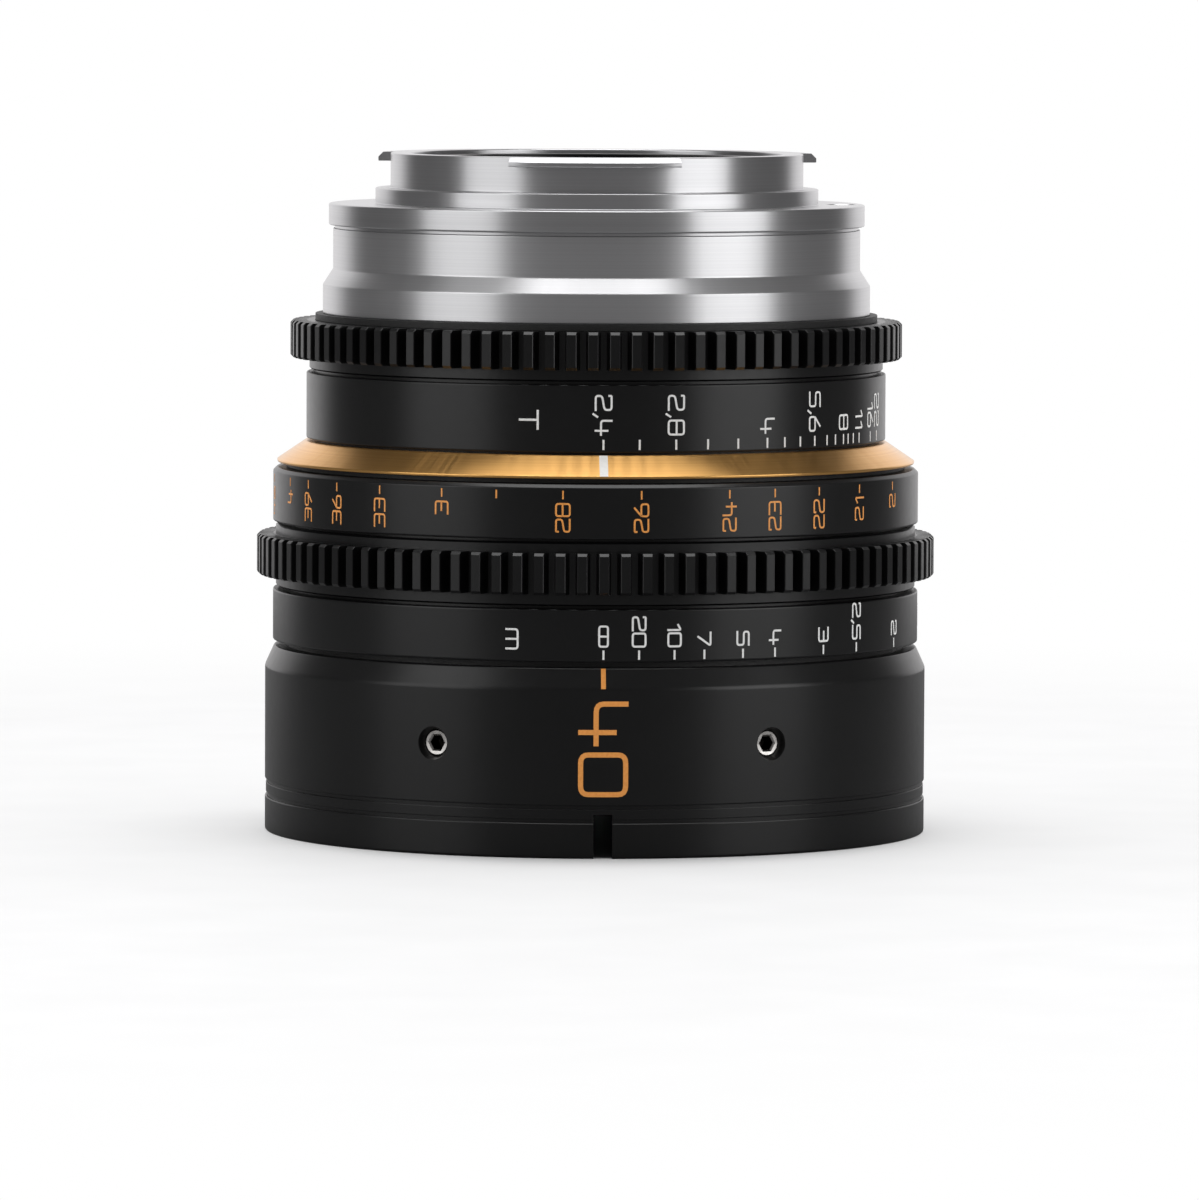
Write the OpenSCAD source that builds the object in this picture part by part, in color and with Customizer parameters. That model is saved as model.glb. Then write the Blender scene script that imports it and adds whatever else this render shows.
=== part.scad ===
// Cinema prime lens, standing on its front rim with the camera mount up.
// The optical axis is Z and the scale index faces -Y. Lengths are millimetres.
// Rest position: focus at infinity, iris wide open.

/* [Front rim and barrel] */
// Outside diameter of the front, the size that clamp-on accessories take
front_d = 80; // [79:0.5:90]
// Wall of the front ring outside the filter thread
filter_wall = 1.5; // [1.5:0.1:4]
// Depth of the filter thread
filter_depth = 5; // [3:0.25:6]
// Height of the front ring
rim_h = 5.2; // [4.5:0.1:8]
// Radial depth of the groove between front ring and barrel
rim_groove = 0.35; // [0.2:0.05:0.6]
// Height of each side of that groove
rim_groove_h = 1.2; // [0.6:0.1:2]
// Width of the two spanner slots in the front ring
spanner_w = 2.2; // [1.5:0.1:3]
// Length of the spigot that centres the front ring in the barrel
spigot_h = 3.8; // [2.5:0.1:5]
// Wall of the front barrel outside the spigot
spigot_wall = 1; // [0.8:0.05:1.2]
// Width of the lip behind the filter thread
lip_w = 3; // [2.2:0.1:5]
// Height of the front barrel
front_barrel_h = 17.2; // [15:0.2:24]
// Height of the taper at the rear of the front barrel
front_taper_h = 2.4; // [1:0.1:4]
// How far that taper draws in
front_taper_in = 1.1; // [0.5:0.05:2]
// Wall of the front barrel outside the main barrel's collar
barrel_wall = 3.2; // [2.8:0.05:3.7]
// Set screw diameter
set_screw_d = 3; // [2.5:0.1:3.5]
// Height of the set screws above the front barrel's lower edge
set_screw_up = 8; // [6.8:0.1:10]
// Angle of the set screws from the index and from its far side
set_screw_angle = 30; // [20:1:40]
// How far the set screws sit below the surface
set_screw_sunk = 1; // [0.6:0.1:1.4]
// Depth of the seat groove for the set screws
set_screw_seat = 0.4; // [0.2:0.1:0.6]
// Thickness of the front baffle
baffle_t = 1.3; // [0.8:0.1:2]

/* [Focus ring] */
// Diameter of the two focus scale bands
focus_band_d = 78.1; // [77.4:0.1:80]
// Gap between front barrel and focus ring
focus_gap = 0.7; // [0.5:0.05:1]
// Height of the distance ring
distance_h = 6.2; // [5:0.1:8]
// Width of the parting lines beside the focus gear
parting = 0.35; // [0.2:0.05:0.5]
// Number of teeth on the focus gear
focus_teeth = 100; // [98:1:110]
// Gear module
gear_module = 0.8; // [0.79:0.005:0.82]
// Addendum and dedendum of the gears
gear_addendum = 1; // [0.8:0.05:1]
// Flank angle of the gears
gear_flank = 8; // [4:0.5:22]
// Extra thickness of the teeth over half of the pitch
tooth_gain = 0.2; // [0:0.05:0.4]
// Chamfer at the tooth ends
tooth_chamfer = 0.5; // [0.2:0.05:0.8]
// Face width of the focus gear
focus_face = 4.9; // [4:0.1:8]
// Shoulder below the teeth of both gears
shoulder_low = 1.4; // [0.8:0.1:2]
// Shoulder above the focus gear's teeth
shoulder_high = 1.2; // [0.8:0.1:2]
// Depth of the shoulders below the tooth roots
shoulder_step = 0.3; // [0.1:0.05:0.5]
// Height of the second focus scale band
far_band_h = 6.5; // [5:0.1:8]
// Outside diameter of the sleeve under gear and distance ring
sleeve_d = 74.8; // [74.2:0.1:75.6]
// Wall of the cam ring
cam_wall = 1; // [0.8:0.05:1.2]
// Focus ring rotation in degrees
focus_throw = 270; // [240:5:280]
// Travel of the optical unit
focus_travel = 5; // [4:0.1:5.4]
// Diameter of the cam followers
follower_d = 2; // [1.6:0.1:2.2]
// Diameter of the screws between cam ring and sleeve
key_screw_d = 1.6; // [1.2:0.1:2]

/* [Index ring] */
// Gap below the index ring
index_gap = 0.6; // [0.4:0.05:1]
// Height of the index ring's cone
index_h = 2.6; // [2:0.1:4]
// Large diameter of the index cone
index_low_d = 77.2; // [76:0.1:78]
// Small diameter of the index cone
index_high_d = 70.4; // [69:0.1:72]
// Thickness of the index ring's inner flange
index_flange = 0.6; // [0.4:0.1:1]

/* [Iris ring] */
// Gap between index ring and iris ring
iris_gap = 0.3; // [0.2:0.05:0.6]
// Diameter of the iris scale band
iris_band_d = 70.1; // [69.4:0.1:72]
// Height of the iris scale band
iris_band_h = 8; // [6:0.1:10]
// Number of teeth on the iris gear
iris_teeth = 90; // [90:1:96]
// Face width of the iris gear
iris_face = 4.5; // [4:0.1:6]
// Diameter of the seat under the iris gear
iris_seat_d = 68; // [67.4:0.1:68.4]
// Iris ring rotation in degrees
iris_throw = 72.5; // [60:0.5:74]
// Diameter of the pin that drives the iris
drive_pin_d = 2; // [1.6:0.1:2.2]

/* [Rear barrel] */
// Gap between iris gear and rear barrel
rear_gap = 0.8; // [0.6:0.05:1.2]
// Diameter of the rear barrel's skirt
skirt_d = 66.2; // [65.8:0.1:67.4]
// Height of the skirt
skirt_h = 3.5; // [3.2:0.1:5]
// Height of the cone between skirt and neck
skirt_cone_h = 1.9; // [1.4:0.1:3]
// Diameter of the neck
neck_d = 63.74; // [63.5:0.02:64.4]
// Height of the neck
neck_h = 4.9; // [4:0.1:8]
// Bore of the neck above the optical unit
neck_bore_d = 55; // [53:0.5:56]

/* [Camera mount] */
// Thickness of the flange shim
shim_t = 0.4; // [0.2:0.05:0.6]
// Diameter of the mount flange
flange_d = 64.8; // [64:0.1:67]
// Thickness of the mount flange
flange_t = 2.6; // [2.2:0.1:4]
// Diameter of the register collar
register_d = 53.56; // [53:0.02:54]
// Height of the register collar
register_h = 1.9; // [1.5:0.1:3]
// Diameter of the bayonet tube
bayonet_d = 49.9; // [49:0.1:51]
// Height of the bayonet tube
bayonet_h = 4.2; // [3.6:0.1:6]
// Thickness of the bayonet tabs
tab_t = 1.1; // [0.8:0.05:1.5]
// Angular width of the bayonet tabs
tab_angle = 45.2; // [30:0.2:50]
// Number of bayonet tabs
tab_count = 3; // [3:1:4]
// Angle of the first bayonet tab from the index
tab_turn = -2; // [-10:0.5:10]
// How far the rear baffle sits below the end of the bayonet
trap_sunk = 0.5; // [0.2:0.1:1.5]
// Bore of the bayonet
mount_bore_d = 45; // [44.4:0.1:47]
// Circle of the mount screws
mount_screw_pcd = 59.2; // [58.8:0.1:59.6]
// Mount screw shank diameter
mount_screw_d = 1.9; // [1.6:0.1:2]
// Mount screw head diameter
mount_head_d = 3.4; // [3:0.1:3.6]
// Diameter of the lock pin bore
lock_d = 3.4; // [3:0.1:3.8]
// Depth of the lock pin bore
lock_depth = 1.8; // [1:0.1:2]

/* [Main barrel and carrier] */
// Diameter of the main barrel under the focus ring
main_focus_d = 69.9; // [69.6:0.1:70]
// Diameter of the main barrel under the iris ring
main_iris_d = 64.8; // [64.6:0.05:65.2]
// Thread diameter at the rear of the main barrel
main_thread_d = 64; // [63.6:0.1:64.2]
// Bore of the main barrel around the carrier
main_bore_d = 65; // [64.6:0.1:65.4]
// Bore of the main barrel behind the carrier's step
main_rear_bore_d = 62; // [61.4:0.1:62.2]
// Outside diameter of the carrier's rear part
carrier_rear_d = 60.8; // [60:0.1:60.8]
// Diameter of the front cell
front_cell_d = 58; // [57:0.1:58.6]
// Diameter of the rear cell
rear_cell_d = 43.6; // [43:0.1:44]
// Diameter of the rear cell's flange
rear_flange_d = 58.4; // [57.6:0.1:58.6]
// Thickness of the rear cell's flange
rear_flange_t = 2; // [1.5:0.1:2.4]

/* [Glass] */
// Diameter of the front element
front_glass_d = 52; // [48:0.5:52.5]
// Diameter of the front doublet
front_doublet_d = 42; // [40:0.5:43]
// Diameter of the rear elements
rear_glass_d = 38; // [36:0.5:38.5]

/* [Iris] */
// Number of iris blades
blade_count = 10; // [10:2:10]
// Radius of the open aperture
aperture_r = 10.5; // [9.5:0.1:10.6]
// Pivot circle radius
pivot_r = 20; // [19.9:0.05:20.1]
// Angle that a blade turns from open to closed
blade_swing = 26.3; // [22:0.1:27]
// Blade thickness
blade_t = 0.12; // [0.08:0.01:0.2]
// Height from one blade layer to the next
blade_pitch = 0.5; // [0.4:0.02:0.6]
// Diameter of the blade pins
blade_pin_d = 0.8; // [0.7:0.05:0.85]
// Radius of the drive pins about the axis when open
blade_drive_r = 21.5; // [21.4:0.05:21.6]
// Angle of the drive pin from the pivot when open
blade_drive_angle = 18; // [16:0.5:19]
// Outside diameter of the iris base
iris_base_d = 51.2; // [50.8:0.1:52]

/* [Fits] */
// Radial clearance of turning and sliding fits
run_fit = 0.05; // [0.03:0.01:0.08]
// Radial clearance of fixed fits
fixed_fit = 0.03; // [0.02:0.01:0.05]
// Axial play of the turning rings
play = 0.05; // [0.03:0.01:0.1]
// Broken edge on the turned parts
edge = 0.2; // [0.1:0.05:0.3]

/* [Hidden] */
$fn = 120;
over = 1;
index_angle = -90;

// Radii of the outside
front_r = front_d / 2;
filter_r = front_r - filter_wall;
spigot_r = front_r - spigot_wall;
lip_r = filter_r - lip_w;
front_end_r = front_r - front_taper_in;
band_r = focus_band_d / 2;
sleeve_r = sleeve_d / 2;
iris_band_r = iris_band_d / 2;
iris_seat_r = iris_seat_d / 2;
skirt_r = skirt_d / 2;
neck_r = neck_d / 2;
flange_r = flange_d / 2;
register_r = register_d / 2;
bayonet_r = bayonet_d / 2;
mount_bore_r = mount_bore_d / 2;

// Radii of the fixed and sliding barrels
collar_r = front_r - barrel_wall;
main_focus_r = main_focus_d / 2;
main_iris_r = main_iris_d / 2;
thread_r = main_thread_d / 2;
main_bore_r = main_bore_d / 2;
main_rear_bore_r = main_rear_bore_d / 2;
carrier_r = main_bore_r - run_fit;
carrier_rear_r = carrier_rear_d / 2;
front_cell_r = front_cell_d / 2;
rear_cell_r = rear_cell_d / 2;
rear_flange_r = rear_flange_d / 2;
rear_room = 0.4;
rear_bore_r = rear_flange_r + rear_room;

// Cam ring between main barrel and sleeve
cam_in_r = main_focus_r + run_fit;
cam_out_r = cam_in_r + cam_wall;
sleeve_bore_r = cam_out_r + fixed_fit;
follower_r = follower_d / 2;
follower_tip_r = cam_out_r - 3 * run_fit;

// Heights, each worked out from the one below it
z_rim = rim_h;
z_spigot = z_rim + spigot_h;
z_collar = z_spigot + baffle_t;
z_set_screw = z_rim + set_screw_up;
z_barrel = z_rim + front_barrel_h;
z_focus = z_barrel + focus_gap;
z_distance = z_focus + distance_h;
z_gear = z_distance + parting;
z_teeth = z_gear + shoulder_low;
z_teeth_top = z_teeth + focus_face;
z_gear_top = z_teeth_top + shoulder_high;
z_far_band = z_gear_top + parting;
z_focus_top = z_far_band + far_band_h;
z_index = z_focus_top + index_gap;
z_index_top = z_index + index_h;
z_main_step = z_index_top - index_flange;
z_iris = z_index_top + iris_gap;
z_iris_band = z_iris + iris_band_h;
z_iris_gear = z_iris_band + parting;
z_iris_teeth = z_iris_gear + shoulder_low;
z_iris_top = z_iris_teeth + iris_face;
z_rear = z_iris_top + rear_gap;
z_skirt = z_rear + skirt_h;
z_neck = z_skirt + skirt_cone_h;
z_shim = z_neck + neck_h;
z_flange = z_shim + shim_t;
z_seat = z_flange + flange_t;
z_register = z_seat + register_h;
z_top = z_register + bayonet_h;

// Sliding optical unit at infinity
cell_lead = 1;
z_cell = z_spigot + focus_travel + cell_lead;
cell_stick_out = 5;
z_carrier = z_cell + cell_stick_out;
bore_step_room = 0.6;
z_bore_step = z_main_step - bore_step_room;
carrier_step_room = 2;
z_carrier_step = z_bore_step - carrier_step_room;
main_end_room = 0.1;
z_main_end = z_skirt - main_end_room;
stop_gap = 0.3;
z_carrier_end = z_main_end - stop_gap;
neck_bore_room = 1;
z_neck_bore = z_carrier_end + rear_flange_t + neck_bore_room;
follower_drop = 2.5;
z_follower = z_focus_top - follower_r - follower_drop;

// Iris drive, placed from the pin under the iris gear
drive_pin_r = drive_pin_d / 2;
drive_angle = 90;
drive_pin_lift = 0.3;
z_drive_pin = z_iris_gear + shoulder_low - drive_pin_lift;
fork_wall = 1.4;
arm_gap = 1.1;
arm_t = 1.3;
arm_in_r = rear_cell_r + arm_gap;
arm_out_r = arm_in_r + arm_t;
arm_w = drive_pin_d + 2 * fork_wall;
z_arm_top = z_drive_pin + focus_travel + drive_pin_d + fork_wall;
drive_tip_r = arm_in_r - edge;
drive_margin = 3;
window_margin = 7;

// Iris stack
iris_base_r = iris_base_d / 2;
base_floor = 1;
base_wall = 1.2;
layers = blade_count / 2;
rotor_r = iris_base_r - base_wall;
rotor_bore_r = 15;
rotor_ledge = 1;
rotor_t = 1.2;
retainer_t = 1;
chamber_room = 0.4;
chamber_h = 2 * chamber_room + layers * blade_pitch + chamber_room;
iris_drop = 13;
z_iris_base = z_drive_pin - iris_drop;
z_blades = z_iris_base + base_floor + chamber_room;
z_rotor = z_iris_base + base_floor + chamber_h + play;
z_retainer = z_rotor + rotor_t + play;
z_iris_end = z_retainer + retainer_t;
ledge_h = 3.5;
z_ledge = z_iris_base - ledge_h;
ledge_w = 1.6;
ledge_r = iris_base_r - ledge_w;
pin_fit = run_fit;
blade_edge = 0.4;
blade_pin_r = blade_pin_d / 2;
blade_in_r = aperture_r + blade_edge;
blade_steps = 12;
slot_steps = 20;
cam_slices = 48;
cam_sides = 72;
cam_sector_steps = 8;

// Glass places, front group from the cell's front, rear group from the rear cell
front_glass_r = front_glass_d / 2;
doublet_r = front_doublet_d / 2;
rear_glass_r = rear_glass_d / 2;
cell_lip = 0.5;
front_glass_sunk = 1;
z_front_glass = z_cell + front_glass_sunk;
front_glass_t = 7.5;
front_glass_R = 55;
front_glass_back_R = 150;
z_front_seat = z_front_glass + front_glass_t + sag(front_glass_back_R, front_glass_r);
z_doublet_end = z_ledge - cell_lip;
doublet_t = 4;
doublet_crown_t = 9.5;
doublet_R = 32;
doublet_back_R = 40;
hollow_r = 14;
rear_cell_gap = 0.1;
z_rear_cell = z_iris_end + rear_cell_gap;
z_rear_glass = z_rear_cell + cell_lip;
rear_flint_t = 4;
rear_hollow_r = 13;
rear_hollow_R = 35;
rear_crown_edge = 1.7;
rear_crown_R = 30;
z_rear_crown = z_rear_glass + rear_flint_t;
z_crown_edge = z_rear_crown + rear_crown_edge;
rear_air = 0.5;
last_front_R = 80;
last_back_R = 45;
last_edge = 2.4;
z_last_edge = z_crown_edge + sag(rear_crown_R, rear_glass_r) + rear_air + sag(last_front_R, rear_glass_r);
z_last_back = z_last_edge + last_edge;
rear_cell_tail = 4;
z_rear_cell_end = z_last_back + rear_cell_tail;

function blade_name(i) = str("iris_blade_", i < 10 ? "0" : "", i);

// Height of a spherical surface's edge against its vertex
function sag(R, r) = R - sqrt(R * R - r * r);

// Plane rotation of a point about the axis
function turn(p, a) = [p[0] * cos(a) - p[1] * sin(a), p[0] * sin(a) + p[1] * cos(a)];

function polar(r, a) = [r * cos(a), r * sin(a)];

// Solid of revolution from its half section
module turned(section) {
    rotate_extrude() polygon(section);
}

// Plain ring between two heights
module ring(r_in, r_out, z0, z1) {
    turned([[r_in, z0], [r_out, z0], [r_out, z1], [r_in, z1]]);
}

// Ring with its two outer edges broken
module band(r_in, r_out, z0, z1, c) {
    turned([[r_in, z0], [r_out - c, z0], [r_out, z0 + c], [r_out, z1 - c], [r_out - c, z1], [r_in, z1]]);
}

// Part of a ring from angle a0 to angle a1
module sector(r_in, r_out, z0, z1, a0, a1) {
    rotate([0, 0, a0])
        rotate_extrude(angle = a1 - a0)
            translate([r_in, z0])
                square([r_out - r_in, z1 - z0]);
}

// Round bar along a radius
module radial_bar(d, r0, r1, z, a) {
    rotate([0, 0, a])
        translate([r0, 0, z])
            rotate([0, 90, 0])
                cylinder(d = d, h = r1 - r0);
}

// Radial slot with round ends for a pin that slides along the axis
module axial_slot(w, r0, r1, z0, z1, a) {
    rotate([0, 0, a])
        translate([r0, 0, 0])
            rotate([0, 90, 0])
                linear_extrude(r1 - r0) {
                    translate([-z1, -w / 2]) square([z1 - z0, w]);
                    translate([-z0, 0]) circle(d = w);
                    translate([-z1, 0]) circle(d = w);
                }
}

// Half of a tooth's angle at radius r
function tooth_half(n, r) =
    (PI * gear_module / 4 + tooth_gain / 2 - (r - n * gear_module / 2) * tan(gear_flank)) / r * 180 / PI;

function gear_root(n) = n * gear_module / 2 - gear_addendum;
function gear_tip(n) = n * gear_module / 2 + gear_addendum;

// Outline of a spur gear with straight flanks
function gear_outline(n) = [
    for (i = [0:n - 1])
        for (p = [[gear_root(n), -1], [gear_tip(n), -1], [gear_tip(n), 1], [gear_root(n), 1]])
            polar(p[0], i * 360 / n + p[1] * tooth_half(n, p[0]))
];

// Gear ring with shoulders, teeth from z_low to z_high
module gear_ring(n, r_in, z0, z_low, z_high, z1) {
    shoulder_r = gear_root(n) - shoulder_step;
    tip = gear_tip(n);
    difference() {
        union() {
            band(r_in - over, shoulder_r, z0, z1, edge);
            intersection() {
                translate([0, 0, z_low]) linear_extrude(z_high - z_low) polygon(gear_outline(n));
                band(r_in - over, tip, z_low, z_high, tooth_chamfer);
            }
        }
        translate([0, 0, z0 - over]) cylinder(r = r_in, h = z1 - z0 + 2 * over);
    }
}

// Corners of the cam ring's many-sided section
function many_sided(r) = [for (i = [0:cam_sides - 1]) polar(r, 360 * (i + 0.5) / cam_sides)];

// Helical slot that lifts a follower by focus_travel over focus_throw
module cam_slot(a) {
    rate = focus_throw / focus_travel;
    slot_h = follower_d + 2 * run_fit;
    span = slot_h * rate;
    r0 = cam_in_r - 2 * cam_wall;
    r1 = cam_out_r + 2 * cam_wall;
    steps = [0:cam_sector_steps];
    outline = concat(
        [for (i = steps) polar(r0, focus_throw + span * i / cam_sector_steps)],
        [for (i = steps) polar(r1, focus_throw + span * (1 - i / cam_sector_steps))]);
    h = focus_travel + slot_h;
    rotate([0, 0, a])
        translate([0, 0, z_follower - focus_travel - slot_h / 2])
            linear_extrude(height = h, twist = h * rate, slices = cam_slices, segments = 0)
                polygon(outline);
}

set_screw_angles = [for (far = [0, 180]) for (s = [-1, 1]) index_angle + far + s * set_screw_angle];
follower_angles = [0, 180];
key_angles = [30, 150, 270];
mount_screw_angles = [45, 135, 225, 315];
lock_angle = 0;
tab_angles = [for (i = [0:tab_count - 1]) index_angle + tab_turn + i * 360 / tab_count];
cell_screw_angles = [60, 180, 300];
cell_screw_d = 2;
cell_screw_grip = 2.3;
cell_screw_r = (iris_base_r + carrier_rear_r) / 2;
key_screw_z = z_focus + distance_h / 2;

module front_ring() {
    color("dimgray")
        difference() {
            turned([
                [filter_r, 0], [front_r - edge, 0], [front_r, edge],
                [front_r, z_rim - rim_groove_h], [front_r - rim_groove, z_rim],
                [spigot_r, z_rim], [spigot_r, z_spigot], [lip_r, z_spigot],
                [lip_r, filter_depth], [filter_r, filter_depth]]);
            for (a = [index_angle, index_angle + 180])
                rotate([0, 0, a])
                    translate([filter_r - over, -spanner_w / 2, -over])
                        cube([front_r, spanner_w, z_rim + over]);
        }
}

module front_barrel() {
    color("black")
        difference() {
            turned([
                [spigot_r + fixed_fit, z_rim], [front_r - rim_groove, z_rim],
                [front_r, z_rim + rim_groove_h], [front_r, z_barrel - front_taper_h],
                [front_end_r, z_barrel], [collar_r + fixed_fit, z_barrel],
                [collar_r + fixed_fit, z_spigot], [spigot_r + fixed_fit, z_spigot]]);
            for (a = set_screw_angles)
                radial_bar(set_screw_d + 2 * fixed_fit, collar_r - over, front_r + over, z_set_screw, a);
        }
}

module front_set_screws() {
    color("silver")
        for (a = set_screw_angles)
            difference() {
                radial_bar(set_screw_d, collar_r - set_screw_seat + fixed_fit,
                    front_r - set_screw_sunk, z_set_screw, a);
                radial_bar(set_screw_d / 2, front_r - set_screw_sunk - set_screw_d / 2, front_r,
                    z_set_screw, a, $fn = 6);
            }
}

module front_baffle() {
    color("black")
        ring(front_cell_r + rear_room, collar_r, z_spigot, z_collar);
}

module main_barrel() {
    seat_r = collar_r - set_screw_seat;
    seat_half = set_screw_d / 2 + fixed_fit;
    pin_w = drive_pin_d / 2 + run_fit;
    color("gray")
        difference() {
            turned([
                [main_bore_r, z_collar], [collar_r, z_collar],
                [collar_r, z_set_screw - seat_half], [seat_r, z_set_screw - seat_half],
                [seat_r, z_set_screw + seat_half], [collar_r, z_set_screw + seat_half],
                [collar_r, z_barrel], [main_focus_r, z_barrel],
                [main_focus_r, z_main_step], [main_iris_r, z_main_step],
                [main_iris_r, z_rear], [thread_r, z_rear], [thread_r, z_main_end],
                [main_rear_bore_r, z_main_end], [main_rear_bore_r, z_bore_step],
                [main_bore_r, z_bore_step]]);
            for (a = follower_angles)
                axial_slot(follower_d + 2 * run_fit, main_bore_r - over, main_focus_r + over,
                    z_follower - focus_travel - run_fit, z_follower + run_fit, a);
            sector(main_rear_bore_r - over, main_iris_r + over, z_drive_pin - pin_w, z_drive_pin + pin_w,
                drive_angle - iris_throw - drive_margin, drive_angle + drive_margin);
        }
}

module focus_front_washer() {
    color("ivory")
        ring(main_focus_r + fixed_fit, sleeve_r, z_barrel, z_focus - play);
}

module focus_rear_washer() {
    color("ivory")
        ring(main_focus_r + fixed_fit, sleeve_r, z_focus_top + play, z_index);
}

module iris_front_washer() {
    color("ivory")
        ring(main_iris_r + fixed_fit, iris_seat_r, z_index_top, z_iris - play);
}

module iris_rear_washer() {
    color("ivory")
        ring(main_iris_r + fixed_fit, iris_seat_r, z_iris_top + play, z_rear);
}

module index_ring() {
    color("goldenrod")
        turned([
            [main_focus_r + fixed_fit, z_index], [index_low_d / 2 - edge, z_index],
            [index_low_d / 2, z_index + edge], [index_high_d / 2, z_index_top],
            [main_iris_r + fixed_fit, z_index_top], [main_iris_r + fixed_fit, z_main_step],
            [main_focus_r + fixed_fit, z_main_step]]);
}

// Countersunk mount screw on the Z axis with its head at height 0
module flat_screw(d, head_d, length, grow) {
    shank_r = d / 2 + grow;
    head_r = head_d / 2 + grow;
    turned([[0, -length], [shank_r, -length], [shank_r, shank_r - head_r], [head_r, 0], [0, 0]]);
}

mount_screw_grip = 2.4;
mount_screw_l = flange_t + shim_t + mount_screw_grip;

module at_mount_screws() {
    for (a = mount_screw_angles)
        rotate([0, 0, a])
            translate([mount_screw_pcd / 2, 0, z_seat])
                children();
}

module rear_barrel() {
    color("silver")
        difference() {
            turned([
                [thread_r + fixed_fit, z_rear], [skirt_r - edge, z_rear], [skirt_r, z_rear + edge],
                [skirt_r, z_skirt], [neck_r, z_neck], [neck_r, z_shim], [neck_bore_d / 2, z_shim],
                [neck_bore_d / 2, z_neck_bore], [rear_bore_r, z_neck_bore],
                [rear_bore_r, z_main_end], [thread_r + fixed_fit, z_main_end]]);
            at_mount_screws() flat_screw(mount_screw_d, mount_head_d, mount_screw_l + fixed_fit, fixed_fit);
        }
}

module flange_shim() {
    color("darkgray")
        difference() {
            ring(neck_bore_d / 2, neck_r - edge, z_shim, z_flange);
            at_mount_screws() flat_screw(mount_screw_d, mount_head_d, mount_screw_l, fixed_fit);
        }
}

module bayonet_mount() {
    tab_root_r = (mount_bore_r + bayonet_r) / 2;
    color("gainsboro")
        difference() {
            union() {
                turned([
                    [mount_bore_r, z_flange], [flange_r - edge, z_flange], [flange_r, z_flange + edge],
                    [flange_r, z_seat - edge], [flange_r - edge, z_seat],
                    [register_r, z_seat], [register_r, z_register - edge], [register_r - edge, z_register],
                    [bayonet_r, z_register], [bayonet_r, z_top], [mount_bore_r, z_top]]);
                for (a = tab_angles)
                    sector(tab_root_r, register_r, z_top - tab_t, z_top, a - tab_angle / 2, a + tab_angle / 2);
            }
            at_mount_screws() flat_screw(mount_screw_d, mount_head_d, mount_screw_l, fixed_fit);
            rotate([0, 0, lock_angle])
                translate([mount_screw_pcd / 2, 0, z_seat - lock_depth])
                    cylinder(d = lock_d, h = lock_depth + over);
        }
}

module mount_screws() {
    driver_w = mount_screw_d / 4;
    driver_l = mount_head_d * 0.6;
    color("silver")
        at_mount_screws()
            difference() {
                flat_screw(mount_screw_d, mount_head_d, mount_screw_l, 0);
                for (a = [0, 90])
                    rotate([0, 0, a])
                        translate([-driver_l / 2, -driver_w / 2, -driver_w])
                            cube([driver_l, driver_w, driver_w + over]);
            }
}

module rear_baffle() {
    r_out = mount_bore_r - fixed_fit;
    wall = 1;
    lip = 3;
    z_lip = z_top - trap_sunk;
    color("black")
        turned([
            [r_out - wall, z_register], [r_out, z_register], [r_out, z_lip],
            [r_out - lip, z_lip], [r_out - lip, z_lip - wall], [r_out - wall, z_lip - wall]]);
}

module focus_sleeve() {
    color("black")
        difference() {
            turned([
                [sleeve_bore_r, z_focus], [sleeve_r, z_focus], [sleeve_r, z_far_band],
                [band_r - edge, z_far_band], [band_r, z_far_band + edge],
                [band_r, z_focus_top - 2 * edge], [band_r - 2 * edge, z_focus_top],
                [sleeve_bore_r, z_focus_top]]);
            for (a = key_angles)
                radial_bar(key_screw_d + 2 * fixed_fit, sleeve_bore_r - over, sleeve_r + over, key_screw_z, a);
        }
}

module focus_cam_ring() {
    color("darkgray")
        difference() {
            translate([0, 0, z_focus])
                linear_extrude(z_focus_top - z_focus)
                    difference() {
                        polygon(many_sided(cam_out_r));
                        polygon(many_sided(cam_in_r / cos(180 / cam_sides)));
                    }
            for (a = follower_angles)
                cam_slot(a);
            for (a = key_angles)
                radial_bar(key_screw_d + 2 * fixed_fit, cam_in_r - over, cam_out_r + over, key_screw_z, a);
        }
}

module focus_key_screws() {
    color("silver")
        for (a = key_angles)
            radial_bar(key_screw_d, cam_in_r + edge, sleeve_r - edge, key_screw_z, a);
}

module focus_gear() {
    color("black")
        gear_ring(focus_teeth, sleeve_r + fixed_fit, z_gear, z_teeth, z_teeth_top, z_gear_top);
}

module distance_ring() {
    color("black")
        band(sleeve_r + fixed_fit, band_r, z_focus, z_distance, edge);
}

module iris_ring() {
    color("black")
        difference() {
            turned([
                [main_iris_r + run_fit, z_iris], [iris_band_r - edge, z_iris], [iris_band_r, z_iris + edge],
                [iris_band_r, z_iris_band - edge], [iris_band_r - edge, z_iris_band],
                [iris_seat_r, z_iris_band], [iris_seat_r, z_iris_top], [main_iris_r + run_fit, z_iris_top]]);
            radial_bar(drive_pin_d + 2 * fixed_fit, main_iris_r - over, iris_seat_r + over,
                z_drive_pin, drive_angle);
        }
}

module iris_gear() {
    color("black")
        gear_ring(iris_teeth, iris_seat_r + fixed_fit, z_iris_gear, z_iris_teeth, z_iris_top, z_iris_top);
}

module iris_drive_pin() {
    color("silver")
        radial_bar(drive_pin_d, drive_tip_r, iris_seat_r - edge, z_drive_pin, drive_angle);
}

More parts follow.
